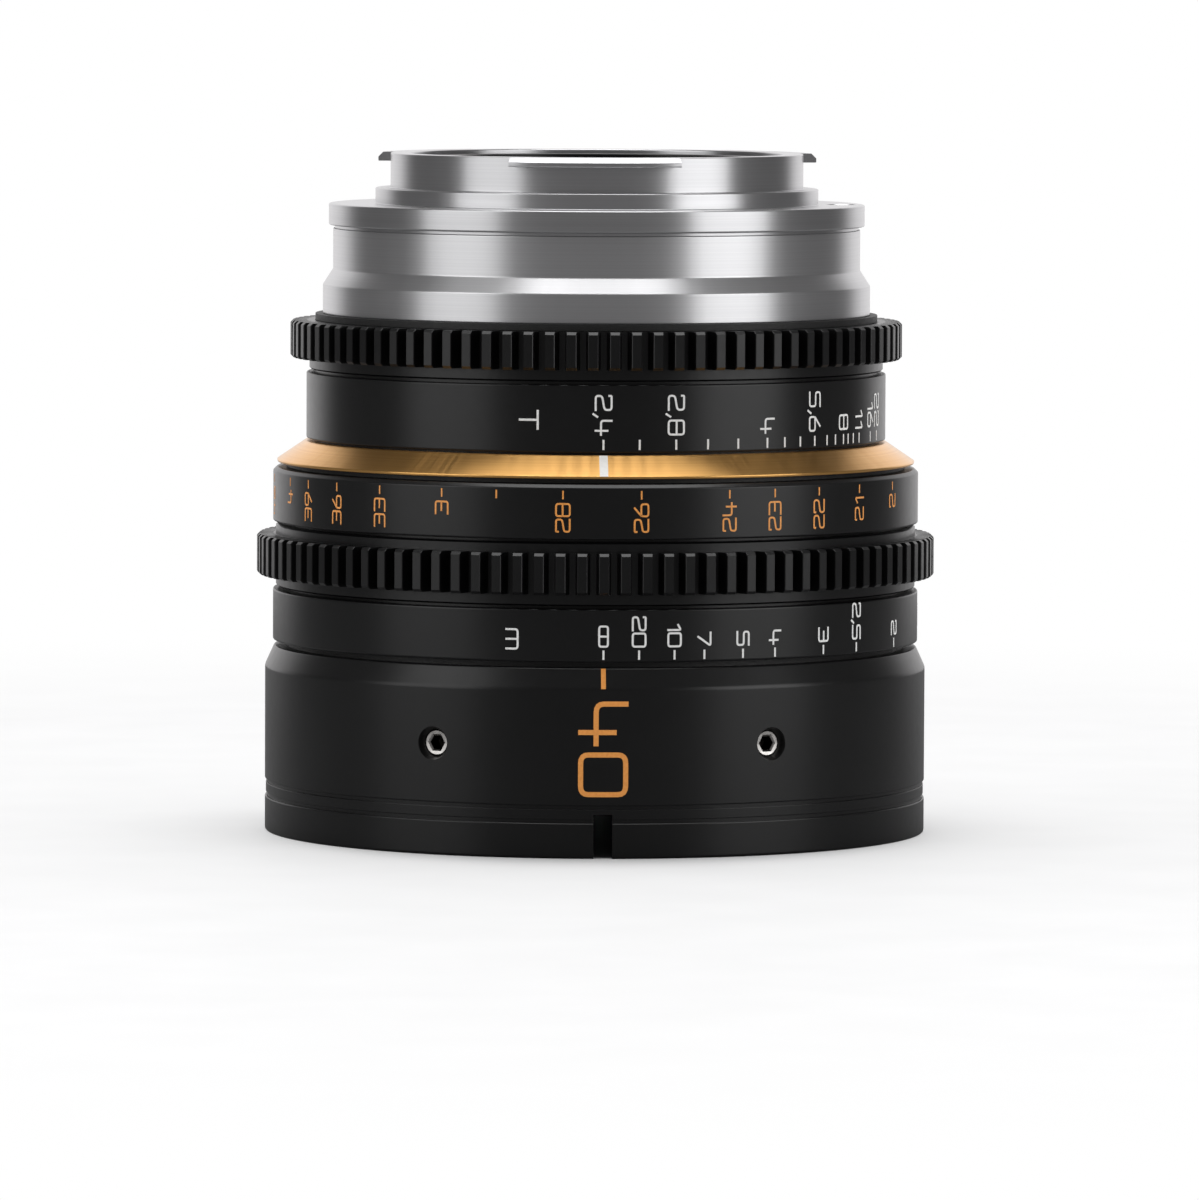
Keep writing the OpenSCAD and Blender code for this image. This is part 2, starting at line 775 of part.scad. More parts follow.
module lens_carrier() {
    pin_w = drive_pin_d / 2 + 2 * run_fit;
    color("gray")
        difference() {
            turned([
                [front_cell_r + fixed_fit, z_carrier], [carrier_r, z_carrier], [carrier_r, z_carrier_step],
                [carrier_rear_r, z_carrier_step], [carrier_rear_r, z_carrier_end],
                [iris_base_r + fixed_fit, z_carrier_end], [iris_base_r + fixed_fit, z_iris_base],
                [ledge_r, z_iris_base], [ledge_r, z_ledge], [front_cell_r + fixed_fit, z_ledge]]);
            for (a = follower_angles)
                radial_bar(follower_d + 2 * fixed_fit, front_cell_r + over, carrier_r + over, z_follower, a);
            sector(iris_base_r - over, carrier_rear_r + over,
                z_drive_pin - pin_w, z_drive_pin + focus_travel + pin_w,
                drive_angle - iris_throw - drive_margin, drive_angle + drive_margin);
            for (a = cell_screw_angles)
                rotate([0, 0, a])
                    translate([cell_screw_r, 0, z_carrier_end - cell_screw_grip])
                        cylinder(d = cell_screw_d + 2 * fixed_fit, h = cell_screw_grip + over);
        }
}

module cam_followers() {
    color("silver")
        for (a = follower_angles)
            radial_bar(follower_d, front_cell_r + over, follower_tip_r, z_follower, a);
}

module front_cell() {
    shoulder_r = doublet_r + fixed_fit;
    color("black")
        turned([
            [front_glass_r + fixed_fit, z_cell], [front_cell_r - edge, z_cell], [front_cell_r, z_cell + edge],
            [front_cell_r, z_ledge], [hollow_r + 1, z_ledge], [hollow_r + 1, z_doublet_end],
            [shoulder_r, z_doublet_end], [shoulder_r, z_front_seat],
            [front_glass_r + fixed_fit, z_front_seat]]);
}

module front_retainer() {
    wall = 1.6;
    z0 = z_cell + edge;
    z1 = z_front_glass + sag(front_glass_R, front_glass_r - wall) - edge;
    color("black")
        turned([
            [front_glass_r - wall / 3, z0], [front_glass_r, z0],
            [front_glass_r, z1], [front_glass_r - wall, z1]]);
}

// Meniscus with both vertices at lower heights than their edges
module front_element() {
    color("lightblue", 0.5)
        difference() {
            intersection() {
                translate([0, 0, z_front_glass]) cylinder(r = front_glass_r, h = z_front_seat - z_front_glass);
                translate([0, 0, z_front_glass + front_glass_R]) sphere(r = front_glass_R);
            }
            translate([0, 0, z_front_glass + front_glass_t + front_glass_back_R])
                sphere(r = front_glass_back_R);
        }
}

module front_doublet_crown() {
    z1 = z_doublet_end - doublet_t;
    z0 = z1 - doublet_crown_t;
    color("lightblue", 0.5)
        intersection() {
            translate([0, 0, z0]) cylinder(r = doublet_r, h = doublet_crown_t);
            translate([0, 0, z0 + doublet_R]) sphere(r = doublet_R);
        }
}

module front_doublet_flint() {
    z_dip = z_doublet_end - sag(doublet_back_R, hollow_r);
    color("lightblue", 0.5)
        difference() {
            translate([0, 0, z_doublet_end - doublet_t]) cylinder(r = doublet_r, h = doublet_t);
            translate([0, 0, z_dip + doublet_back_R]) sphere(r = doublet_back_R);
        }
}

module doublet_retainer() {
    wall = 1.5;
    height = 3;
    z1 = z_doublet_end - doublet_t - doublet_crown_t + sag(doublet_R, doublet_r - wall) - edge;
    color("black")
        ring(doublet_r - wall, doublet_r, z1 - height, z1);
}

module rear_cell() {
    color("black")
        difference() {
            turned([
                [rear_hollow_r + 1, z_rear_cell], [rear_cell_r, z_rear_cell], [rear_cell_r, z_carrier_end],
                [rear_flange_r, z_carrier_end], [rear_flange_r, z_carrier_end + rear_flange_t],
                [rear_cell_r, z_carrier_end + rear_flange_t], [rear_cell_r, z_rear_cell_end],
                [rear_glass_r + fixed_fit, z_rear_cell_end], [rear_glass_r + fixed_fit, z_rear_glass],
                [rear_hollow_r + 1, z_rear_glass]]);
            for (a = cell_screw_angles)
                rotate([0, 0, a])
                    translate([cell_screw_r, 0, z_carrier_end - over])
                        cylinder(d = cell_screw_d + 2 * fixed_fit, h = rear_flange_t + 2 * over);
        }
}

module rear_cell_screws() {
    head_h = 0.8;
    color("silver")
        for (a = cell_screw_angles)
            rotate([0, 0, a])
                translate([cell_screw_r, 0, 0])
                    turned([
                        [0, z_carrier_end - cell_screw_grip + edge],
                        [cell_screw_d / 2, z_carrier_end - cell_screw_grip + edge],
                        [cell_screw_d / 2, z_carrier_end + rear_flange_t],
                        [cell_screw_d / 2 + edge, z_carrier_end + rear_flange_t],
                        [cell_screw_d / 2 + edge, z_carrier_end + rear_flange_t + head_h],
                        [0, z_carrier_end + rear_flange_t + head_h]]);
}

module rear_doublet_flint() {
    z_dip = z_rear_glass + sag(rear_hollow_R, rear_hollow_r);
    color("lightblue", 0.5)
        difference() {
            translate([0, 0, z_rear_glass]) cylinder(r = rear_glass_r, h = rear_flint_t);
            translate([0, 0, z_dip - rear_hollow_R]) sphere(r = rear_hollow_R);
        }
}

module rear_doublet_crown() {
    z_tip = z_crown_edge + sag(rear_crown_R, rear_glass_r);
    color("lightblue", 0.5)
        intersection() {
            translate([0, 0, z_rear_crown]) cylinder(r = rear_glass_r, h = z_tip - z_rear_crown);
            translate([0, 0, z_tip - rear_crown_R]) sphere(r = rear_crown_R);
        }
}

module rear_spacer() {
    wall = 1.2;
    drop = sag(rear_crown_R, rear_glass_r) - sag(rear_crown_R, rear_glass_r - wall);
    rise = sag(last_front_R, rear_glass_r) - sag(last_front_R, rear_glass_r - wall);
    color("black")
        ring(rear_glass_r - wall, rear_glass_r, z_crown_edge + drop, z_last_edge - rise);
}

module rear_element() {
    z_front_tip = z_last_edge - sag(last_front_R, rear_glass_r);
    z_back_tip = z_last_back + sag(last_back_R, rear_glass_r);
    color("lightblue", 0.5)
        intersection() {
            translate([0, 0, z_front_tip]) cylinder(r = rear_glass_r, h = z_back_tip - z_front_tip);
            translate([0, 0, z_front_tip + last_front_R]) sphere(r = last_front_R);
            translate([0, 0, z_back_tip - last_back_R]) sphere(r = last_back_R);
        }
}

module rear_retainer() {
    wall = 2.2;
    z0 = z_last_back + sag(last_back_R, rear_glass_r) - sag(last_back_R, rear_glass_r - wall) + edge;
    z1 = z_rear_cell_end - 2 * edge;
    color("black")
        turned([
            [rear_glass_r - wall, z0], [rear_glass_r, z0],
            [rear_glass_r, z1], [rear_glass_r - wall / 3, z1]]);
}

function pivot_angle(i) = (i - 1) * 360 / blade_count;

module iris_base() {
    wall_in_r = rotor_r - rotor_ledge;
    z_floor = z_iris_base + base_floor;
    z_ledge_top = z_floor + chamber_h;
    color("dimgray")
        difference() {
            turned([
                [aperture_r, z_iris_base], [iris_base_r, z_iris_base], [iris_base_r, z_retainer],
                [rotor_r + run_fit, z_retainer], [rotor_r + run_fit, z_ledge_top],
                [wall_in_r, z_ledge_top], [wall_in_r, z_floor], [aperture_r, z_floor]]);
            for (i = [1:blade_count])
                rotate([0, 0, pivot_angle(i)])
                    translate([pivot_r, 0, z_iris_base - over])
                        cylinder(r = blade_pin_r + pin_fit, h = base_floor + 2 * over);
        }
}

module iris_retainer() {
    color("dimgray")
        difference() {
            ring(rotor_bore_r, iris_base_r, z_retainer, z_iris_end);
            sector(arm_in_r - 4 * run_fit, arm_out_r + 4 * run_fit, z_retainer - over, z_iris_end + over,
                drive_angle - iris_throw - window_margin, drive_angle + window_margin);
        }
}

blade_drive = polar(blade_drive_r, blade_drive_angle);

// Drive pin in the rotor's frame when the iris ring has turned by psi
function slot_point(psi) =
    turn([pivot_r, 0] + turn(blade_drive - [pivot_r, 0], blade_swing * psi / iris_throw), psi);

// One side of the slot, shifted from the pin's path
function slot_side(shift) = [
    for (i = [-1:slot_steps + 1])
        let (psi = iris_throw * i / slot_steps,
            p = slot_point(psi),
            q = slot_point(psi + 0.1) - p)
            p + shift * [-q[1], q[0]] / norm(q)
];

function reversed(list) = [for (i = [len(list) - 1:-1:0]) list[i]];

module iris_rotor() {
    slot_half = blade_pin_r + pin_fit;
    pin_slot_w = drive_pin_d + 2 * run_fit;
    color("dimgray")
        difference() {
            union() {
                ring(rotor_bore_r, rotor_r, z_rotor, z_rotor + rotor_t);
                rotate([0, 0, drive_angle])
                    intersection() {
                        ring(arm_in_r, arm_out_r, z_rotor, z_arm_top);
                        translate([0, -arm_w / 2, z_rotor]) cube([arm_out_r, arm_w, z_arm_top - z_rotor]);
                    }
            }
            for (i = [1:blade_count])
                rotate([0, 0, pivot_angle(i)])
                    translate([0, 0, z_rotor - over])
                        linear_extrude(rotor_t + 2 * over)
                            polygon(concat(slot_side(slot_half), reversed(slot_side(-slot_half))));
            axial_slot(pin_slot_w, arm_in_r - over, arm_out_r + over,
                z_drive_pin - run_fit, z_drive_pin + focus_travel + run_fit, drive_angle);
        }
}

// Outer edge of a blade: root round the pins, neck inside the next pivot, taper to the tip
blade_rim = 0.9;
blade_root_r = pivot_r + blade_rim;
blade_drive_edge = blade_drive_r + blade_rim;
blade_neck_r = pivot_r - blade_rim;
blade_tip_w = 3.5;
blade_tip_r = blade_in_r + blade_tip_w;
blade_root_a = -5;
blade_heel_a = blade_drive_angle + 5;
blade_neck_a = 33;
blade_taper = 1.6;
blade_tip_a = 108;

blade_outline = concat(
    [for (i = [0:blade_steps])
        polar(blade_in_r, blade_tip_a + (blade_root_a - blade_tip_a) * i / blade_steps)],
    [polar(blade_root_r, blade_root_a), polar(blade_root_r, blade_drive_angle / 3),
        polar(blade_drive_edge, blade_drive_angle), polar(blade_drive_r, blade_heel_a)],
    [for (i = [0:blade_steps])
        polar(blade_neck_r + (blade_tip_r - blade_neck_r) * pow(i / blade_steps, blade_taper),
            blade_neck_a + (blade_tip_a - blade_neck_a) * i / blade_steps)]);

module iris_blade(i) {
    z0 = z_blades + ((i - 1) % layers) * blade_pitch;
    color("black")
        rotate([0, 0, pivot_angle(i)]) {
            translate([0, 0, z0]) linear_extrude(blade_t) polygon(blade_outline);
            translate([pivot_r, 0, z_iris_base]) cylinder(r = blade_pin_r, h = z0 + blade_t - z_iris_base);
            translate([blade_drive[0], blade_drive[1], z0])
                cylinder(r = blade_pin_r, h = z_rotor + rotor_t - z0);
        }
}

front_ring();
front_barrel();
front_set_screws();
front_baffle();
main_barrel();
focus_front_washer();
focus_rear_washer();
iris_front_washer();
iris_rear_washer();
index_ring();
rear_barrel();
flange_shim();
bayonet_mount();
mount_screws();
rear_baffle();
focus_sleeve();
focus_cam_ring();
focus_key_screws();
focus_gear();
distance_ring();
iris_ring();
iris_gear();
iris_drive_pin();
lens_carrier();
cam_followers();
front_cell();
front_retainer();
front_element();
front_doublet_crown();
front_doublet_flint();
doublet_retainer();
rear_cell();
rear_cell_screws();
rear_doublet_flint();
rear_doublet_crown();
rear_spacer();
rear_element();
rear_retainer();
iris_base();
iris_retainer();
iris_rotor();
for (i = [1:blade_count]) {
    iris_blade(i);
}
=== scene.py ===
# %% [markdown]
# A cinema prime lens that stands on its front rim with the camera mount up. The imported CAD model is
# the fixed frame: every ring keeps its place, its size and its joint. What this file adds is the look,
# so each visible part is turned again here on a finer grid, with broken edges that catch the light,
# cut gear teeth, filled engravings and metal, anodised and glass finishes made of nodes.

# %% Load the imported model
import math

import bmesh
import bpy
import numpy as np
from mathutils import Matrix, Vector


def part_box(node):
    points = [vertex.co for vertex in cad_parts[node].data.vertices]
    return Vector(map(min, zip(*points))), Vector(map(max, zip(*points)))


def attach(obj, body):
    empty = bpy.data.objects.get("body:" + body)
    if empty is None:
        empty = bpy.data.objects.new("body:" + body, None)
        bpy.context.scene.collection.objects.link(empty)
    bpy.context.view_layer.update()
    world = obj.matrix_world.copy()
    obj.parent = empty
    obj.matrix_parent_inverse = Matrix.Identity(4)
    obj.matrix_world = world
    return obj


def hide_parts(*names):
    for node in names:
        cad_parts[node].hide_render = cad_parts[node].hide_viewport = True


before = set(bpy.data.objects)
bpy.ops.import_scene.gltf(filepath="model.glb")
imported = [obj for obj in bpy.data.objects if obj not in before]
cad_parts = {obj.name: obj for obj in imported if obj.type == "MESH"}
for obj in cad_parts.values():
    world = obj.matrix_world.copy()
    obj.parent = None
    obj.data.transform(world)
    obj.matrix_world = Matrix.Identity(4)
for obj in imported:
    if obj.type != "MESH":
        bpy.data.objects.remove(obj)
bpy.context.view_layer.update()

# %% [markdown]
# Heights come from the CAD nodes, so that a new pack moves the dressing with it. Sizes of parts are in
# millimetres, as on a workshop drawing, and become metres where a mesh is made.

# %% Heights and radii of the CAD rings
MM = 0.001
INDEX = -90.0  # angle of the index line, on the side of the camera
SIDES = (0, 180)  # turns for what the front and the back both have


def heights(node):
    """Lower and upper end of a CAD node along the optical axis, in millimetres."""
    low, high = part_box(node)
    return low.z / MM, high.z / MM


def outer(node):
    """Largest radius of a CAD node that is a full ring, in millimetres."""
    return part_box(node)[1].x / MM


print("front ring", heights("front_ring"), "radius", outer("front_ring"))

# %% [markdown]
# Almost every part of a lens barrel is turned on a lathe, so one helper does most of the work: a
# closed half-section in radius and height is carried round the axis. Blender's Spin could do it too,
# but would leave a seam to merge, and a grid that is worked out as an array has none. Real edges are
# never knife sharp, so the helper first rounds the section's corners. A Bevel modifier would round
# them alike, and here each corner has its own radius. Each corner also gets a point just before and
# after its curve, which keeps the long flats between the corners truly flat in the shading.

# %% Rounded half-sections
CORNER_SHARE, LEAD_SHARE, SAME_POINT = 0.4, 0.08, 1e-6


def rounded(section, radius, steps=4, lead=0.05):
    """Closed section with curved corners. Corner B between A and C becomes the quadratic Bezier
    (1-s)^2 S + 2s(1-s) B + s^2 E, with S and E at distance t = min(radius, 0.4 side) from B."""
    b = np.asarray(section, float)
    to_a, to_c = np.roll(b, 1, 0) - b, np.roll(b, -1, 0) - b
    len_a, len_c = np.linalg.norm(to_a, axis=1), np.linalg.norm(to_c, axis=1)
    u_a, u_c = to_a / len_a[:, None], to_c / len_c[:, None]
    t = np.minimum(np.minimum(radius, CORNER_SHARE * len_a), CORNER_SHARE * len_c)[:, None]
    start, end = b + t * u_a, b + t * u_c
    s = np.linspace(0, 1, steps + 1)[None, :, None]
    curve = (1 - s) ** 2 * start[:, None] + 2 * s * (1 - s) * b[:, None] + s ** 2 * end[:, None]
    keep = np.where(t > 0, lead, 0)
    before = start + np.minimum(keep, LEAD_SHARE * len_a[:, None]) * u_a
    after = end + np.minimum(keep, LEAD_SHARE * len_c[:, None]) * u_c
    points = np.concatenate([before[:, None], curve, after[:, None]], 1).reshape(-1, 2)
    return points[np.linalg.norm(points - np.roll(points, 1, 0), axis=1) > SAME_POINT]


def arc_grid(section, angles):
    """P(a, v) = (r(v) cos a, r(v) sin a, z(v)): the half-section carried round the axis by angles a."""
    r, z = np.asarray(section, float).T
    return np.stack([np.outer(np.cos(angles), r), np.outer(np.sin(angles), r),
                     np.tile(z, (len(angles), 1))], -1)


def turned_grid(section, columns=240):
    """The half-section carried once round the axis."""
    return arc_grid(section, np.linspace(0, 2 * np.pi, columns, endpoint=False))


print("a square corner becomes", len(rounded([(1, 0), (2, 0), (2, 1), (1, 1)], 0.1)) // 4, "points")

# %% [markdown]
# A grid of points becomes a mesh here. The faces are worked out as one array, and the sign of the
# volume inside them tells whether they point outwards. Several grids may share one object, as the
# screws of a set do. Holes and slots are cut by an exact Boolean, which is applied at once, so that a
# finished piece is a plain mesh.

# %% Grids to meshes
SHARP, MERGE_WITHIN, NO_LENGTH = 30, 1e-7, 1e-8


def grid_faces(columns, rows, wrap_columns, wrap_rows):
    """Four corner numbers for every cell of a grid."""
    i = np.arange(columns - (not wrap_columns))[:, None]
    j = np.arange(rows - (not wrap_rows))
    i2, j2 = (i + 1) % columns, (j + 1) % rows
    return np.stack([i * rows + j, i2 * rows + j, i2 * rows + j2, i * rows + j2], -1).reshape(-1, 4)


def closed_volume(points, quads):
    """Signed volume inside quads: the sum of p0 . (p1 x p2 + p2 x p3) / 6."""
    p0, p1, p2, p3 = np.moveaxis(points[quads], 1, 0)
    return (p0 * (np.cross(p1, p2) + np.cross(p2, p3))).sum() / 6


def grid_part(points, wrap_columns=True, wrap_rows=True, caps=False):
    """Vertices and faces of one grid, turned so that the faces point outwards."""
    columns, rows = points.shape[:2]
    flat = points.reshape(-1, 3)
    quads = grid_faces(columns, rows, wrap_columns, wrap_rows)
    faces = quads.tolist()
    if caps:
        last = (columns - 1) * rows
        faces += [list(range(rows)), list(range(last, last + rows))[::-1]]
    if closed_volume(flat, quads) < 0:
        faces = [face[::-1] for face in faces]
    return flat, faces


def shade(mesh, sharp):
    """Smooth shading, with edges left sharp where the surface turns by more than an angle."""
    mesh.shade_smooth()
    mesh.set_sharp_from_angle(angle=math.radians(sharp))


def build(name, parts, finish, merge=False, sharp=SHARP):
    """One object from grid parts in millimetres. Its place is in its mesh, its object at the origin."""
    offsets = np.cumsum([0] + [len(points) for points, _ in parts])
    verts = np.concatenate([points for points, _ in parts]) * MM
    faces = [[c + int(o) for c in face] for (_, own), o in zip(parts, offsets) for face in own]
    mesh = bpy.data.meshes.new(name)
    mesh.from_pydata(verts.tolist(), [], faces)
    if merge:
        bm = bmesh.new()
        bm.from_mesh(mesh)
        bmesh.ops.remove_doubles(bm, verts=bm.verts, dist=MERGE_WITHIN)
        bmesh.ops.dissolve_degenerate(bm, edges=bm.edges, dist=NO_LENGTH)
        bmesh.ops.recalc_face_normals(bm, faces=bm.faces)
        bm.to_mesh(mesh)
        bm.free()
    shade(mesh, sharp)
    obj = bpy.data.objects.new(name, mesh)
    bpy.context.scene.collection.objects.link(obj)
    mesh.materials.append(finish)
    return obj


def settle(obj, body, slot, *nodes):
    """Tie a finished piece to its body and hide the CAD nodes that it stands for. The slot is not used."""
    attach(obj, body)
    if nodes:
        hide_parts(*nodes)
    print(obj.name, len(obj.data.vertices), "vertices on", body)


def cut(obj, cutter):
    """Take the cutter's solid away from the piece for good, then drop the cutter."""
    tool = obj.modifiers.new("cut", "BOOLEAN")
    tool.operation, tool.solver, tool.object = "DIFFERENCE", "EXACT", cutter
    graph = bpy.context.evaluated_depsgraph_get()
    mesh = bpy.data.meshes.new_from_object(obj.evaluated_get(graph))
    obj.modifiers.clear()
    old, obj.data = obj.data, mesh
    mesh.name = old.name
    bpy.data.meshes.remove(old)
    bpy.data.objects.remove(cutter)
    shade(mesh, SHARP)


print("grid helpers ready")

# %% [markdown]
# Finishes. Each one is a Principled shader whose colour, roughness and bump come from noise on the
# part's own Object coordinates, at the scale that the real surface shows: fine grain for blasted and
# anodised aluminium, grooves round the axis for bright turned metal. Images would need a UV map on
# every part, while noise needs none and stays sharp close up. Small helpers place and wire the nodes.

# %% Node helpers
TONE_A, TONE_B, TONE_OUT = 6, 7, 2  # a Mix node's colour sockets, which share their names with others
NOISE_LOW, NOISE_HIGH = 0.3, 0.7


def feed(tree, socket, value):
    """Give a socket a plain value, or link another node's output to it."""
    if isinstance(value, bpy.types.NodeSocket):
        tree.links.new(value, socket)
    else:
        socket.default_value = value


def wire(tree, node, **sockets):
    """Feed a node's sockets by name, with _ for a blank."""
    for key, value in sockets.items():
        feed(tree, node.inputs[key.replace("_", " ")], value)


def add(tree, kind, settings=None, **sockets):
    """A new node with its settings, wired."""
    node = tree.nodes.new(kind)
    for key, value in (settings or {}).items():
        setattr(node, key, value)
    wire(tree, node, **sockets)
    return node


def new_finish(name, **sockets):
    """A material with its Principled shader, whose plain values are set on the shader itself."""
    finish = bpy.data.materials.new(name)
    finish.use_nodes = True
    tree = finish.node_tree
    shader = tree.nodes["Principled BSDF"]
    wire(tree, shader, **sockets)
    return finish, tree, shader


def arithmetic(tree, operation, *values):
    """Result of a Math node on one or two values."""
    node = add(tree, "ShaderNodeMath", {"operation": operation})
    for socket, value in zip(node.inputs, values):
        feed(tree, socket, value)
    return node.outputs["Value"]


def ramp(tree, value, start, end, low, high, shape="SMOOTHSTEP"):
    """Goes from low to high while the value goes from start to end, and stays level beyond."""
    return add(tree, "ShaderNodeMapRange", {"interpolation_type": shape}, Value=value, From_Min=start,
               From_Max=end, To_Min=low, To_Max=high).outputs["Result"]


def own_place(tree):
    """A point's place on its part, in metres."""
    return add(tree, "ShaderNodeTexCoord").outputs["Object"]


def across_axis(tree, place, stretch=(1, 1, 0)):
    """The part of a place that lies across the axis: the vector (x, y, 0) and its length."""
    flat = add(tree, "ShaderNodeVectorMath", {"operation": "MULTIPLY"})
    feed(tree, flat.inputs[0], place)
    feed(tree, flat.inputs[1], stretch)
    length = add(tree, "ShaderNodeVectorMath", {"operation": "LENGTH"})
    feed(tree, length.inputs[0], flat.outputs["Vector"])
    return flat.outputs["Vector"], length.outputs["Value"]


def noise(tree, vector, scale, detail=2.0):
    """Noise of a given number of grains per metre."""
    return add(tree, "ShaderNodeTexNoise", Vector=vector, Scale=scale, Detail=detail).outputs["Fac"]


def spread(tree, value, low, high):
    """The middle of a noise, 0.3 to 0.7, stretched to the range low to high."""
    return ramp(tree, value, NOISE_LOW, NOISE_HIGH, low, high, "LINEAR")


def tone_between(tree, share, dark, light):
    """Colour between two tones by a share from 0 to 1."""
    node = add(tree, "ShaderNodeMix", {"data_type": "RGBA"}, Factor=share)
    node.inputs[TONE_A].default_value = (*dark, 1)
    node.inputs[TONE_B].default_value = (*light, 1)
    return node.outputs[TONE_OUT]


def two_tone(tree, value, dark, light):
    """Colour between two tones by a noise value."""
    return tone_between(tree, spread(tree, value, 0, 1), dark, light)


def mix_shader(tree, share, first, second):
    """The first shader where the share is 0, the second where it is 1."""
    node = add(tree, "ShaderNodeMixShader", Fac=share)
    feed(tree, node.inputs[1], first)
    feed(tree, node.inputs[2], second)
    return node.outputs["Shader"]


def grain(tree, height, depth, strength=1.0):
    """Bumped normal from a height value, depth in metres."""
    return add(tree, "ShaderNodeBump", Height=height, Distance=depth, Strength=strength).outputs["Normal"]


print("node helpers ready")

# %% [markdown]
# Black anodised aluminium. The barrel is blasted with fine beads before it is dyed, so it is a dark
# satin with a soft grain. A carbon black base with a broad highlight shows that, and small changes of
# roughness keep the highlight from looking like plastic. A range of roughness stays on one side of
# 0.274: below that the denoiser takes a surface for a mirror, and a mix of both shows jagged lines.

# %% Black anodised finish
CLOUDS, SATIN, BEAD_DEEP, BLUE = 140.0, 900.0, 2e-6, 0.0002


def anodised(name, dark, light, rough, beads):
    """Satin anodised aluminium: dyed greys, a trace blue, in soft clouds, and blasted grain."""
    finish, tree, shader = new_finish(name, Specular_IOR_Level=0.42)
    place = own_place(tree)
    greys = [(grey, grey, grey + BLUE) for grey in (dark, light)]
    wire(tree, shader, Base_Color=two_tone(tree, noise(tree, place, CLOUDS, 4.0), *greys),
         Roughness=spread(tree, noise(tree, place, SATIN), *rough),
         Normal=grain(tree, noise(tree, place, beads, 3.0), BEAD_DEEP))
    return finish


black_anodise = anodised("black_anodise", 0.0020, 0.0028, (0.277, 0.303), 9000.0)
gear_anodise = anodised("gear_anodise", 0.0016, 0.0024, (0.277, 0.313), 9000.0)
light_trap = anodised("light_trap", 0.0018, 0.0028, (0.6, 0.75), 5000.0)
print("anodised:", black_anodise.name, gear_anodise.name, light_trap.name)

# %% [markdown]
# Bright turned metal. A lathe tool leaves fine grooves that run round the part, and they smear every
# reflection along the axis. The Principled shader does this with its anisotropy: the tangent runs round
# the axis, and a quarter turn lays the smear across it. A faint ripple from noise that only changes
# along the axis and the radius breaks the reflections as real cuts do.

# %% Turned metal finishes
QUARTER_TURN, RIPPLE_DEEP, RIPPLE = 0.25, 3e-7, 0.5
FINE_CUT, BRUSHED = (0.5, 6000.0, 45.0), (0.92, 5000.0, 80.0)  # smear, grooves, streaks


def turned_metal(name, dark, light, rough, smear, groove, streak):
    """Metal cut on a lathe: tones in rings, roughness in streaks along the axis, smeared reflections."""
    finish, tree, shader = new_finish(name, Metallic=1.0, Anisotropic=smear,
                                      Anisotropic_Rotation=QUARTER_TURN)
    round_axis = add(tree, "ShaderNodeTangent", {"direction_type": "RADIAL", "axis": "Z"})
    place = own_place(tree)
    height = add(tree, "ShaderNodeSeparateXYZ", Vector=place).outputs["Z"]
    flat, radius = across_axis(tree, place)
    cuts = add(tree, "ShaderNodeCombineXYZ", X=radius, Y=height).outputs["Vector"]
    rings = noise(tree, cuts, groove, 3.0)
    bearing = add(tree, "ShaderNodeVectorMath", {"operation": "NORMALIZE"})
    feed(tree, bearing.inputs[0], flat)
    streaks = noise(tree, bearing.outputs["Vector"], streak, 3.0)
    wire(tree, shader, Tangent=round_axis.outputs["Tangent"], Base_Color=two_tone(tree, rings, dark, light),
         Roughness=spread(tree, streaks, *rough), Normal=grain(tree, rings, RIPPLE_DEEP, RIPPLE))
    return finish


silver = turned_metal("turned_aluminium", (0.56, 0.56, 0.57), (0.61, 0.61, 0.62), (0.31, 0.335), *FINE_CUT)
mount_chrome = turned_metal("mount_chrome", (0.49, 0.49, 0.50), (0.54, 0.54, 0.55), (0.277, 0.297), *FINE_CUT)
gold = turned_metal("gold_anodise", (0.84, 0.45, 0.14), (0.92, 0.53, 0.18), (0.28, 0.36), *BRUSHED)
print("turned metal:", silver.name, mount_chrome.name, gold.name)

# %% [markdown]
# The smaller finishes: hardened steel for screws and pins, spring steel for the iris blades with its
# dull black coat, plastic for the thrust washers, and paint for the filled engravings. Glass carries
# a coating a fraction of a wavelength thick, which Blender's thin film gives with its own colours.

# %% Steel, plastic and paint finishes
ROUGH_FINER, BUMP_FINER = 2.5, 5
PAINT = (0.4, 0.5), 3000.0, 3e-6


def plain_finish(name, dark, light, rough, scale, depth, **sockets):
    """Two tones, a range of roughness and a bump, from noise at one scale and finer."""
    finish, tree, shader = new_finish(name, **sockets)
    place = own_place(tree)
    wire(tree, shader, Base_Color=two_tone(tree, noise(tree, place, scale, 4.0), dark, light),
         Roughness=spread(tree, noise(tree, place, scale * ROUGH_FINER), *rough),
         Normal=grain(tree, noise(tree, place, scale * BUMP_FINER), depth))
    return finish


steel = plain_finish(
    "screw_steel_cut", (0.42, 0.41, 0.40), (0.55, 0.54, 0.53), (0.19, 0.265), 900.0, 5e-7, Metallic=1.0)
pin_steel = plain_finish(
    "pin_steel_ground", (0.5, 0.5, 0.5), (0.6, 0.6, 0.6), (0.15, 0.25), 2000.0, 2e-6, Metallic=1.0)
blade_coat = plain_finish(
    "blade_coat", (0.010, 0.010, 0.011), (0.016, 0.016, 0.018), (0.38, 0.5), 1800.0, 2e-6)
washer_black = plain_finish(
    "washer_black", (0.006, 0.006, 0.006), (0.010, 0.010, 0.010), (0.45, 0.6), 1500.0, 4e-6)
white_paint = plain_finish("white_paint", (0.66, 0.66, 0.65), (0.76, 0.76, 0.75), *PAINT)
index_paint = plain_finish("index_paint", (0.84, 0.83, 0.80), (0.92, 0.91, 0.88), *PAINT)
orange_paint = plain_finish("orange_paint", (0.66, 0.25, 0.045), (0.76, 0.31, 0.065), *PAINT)
print("small finishes ready")

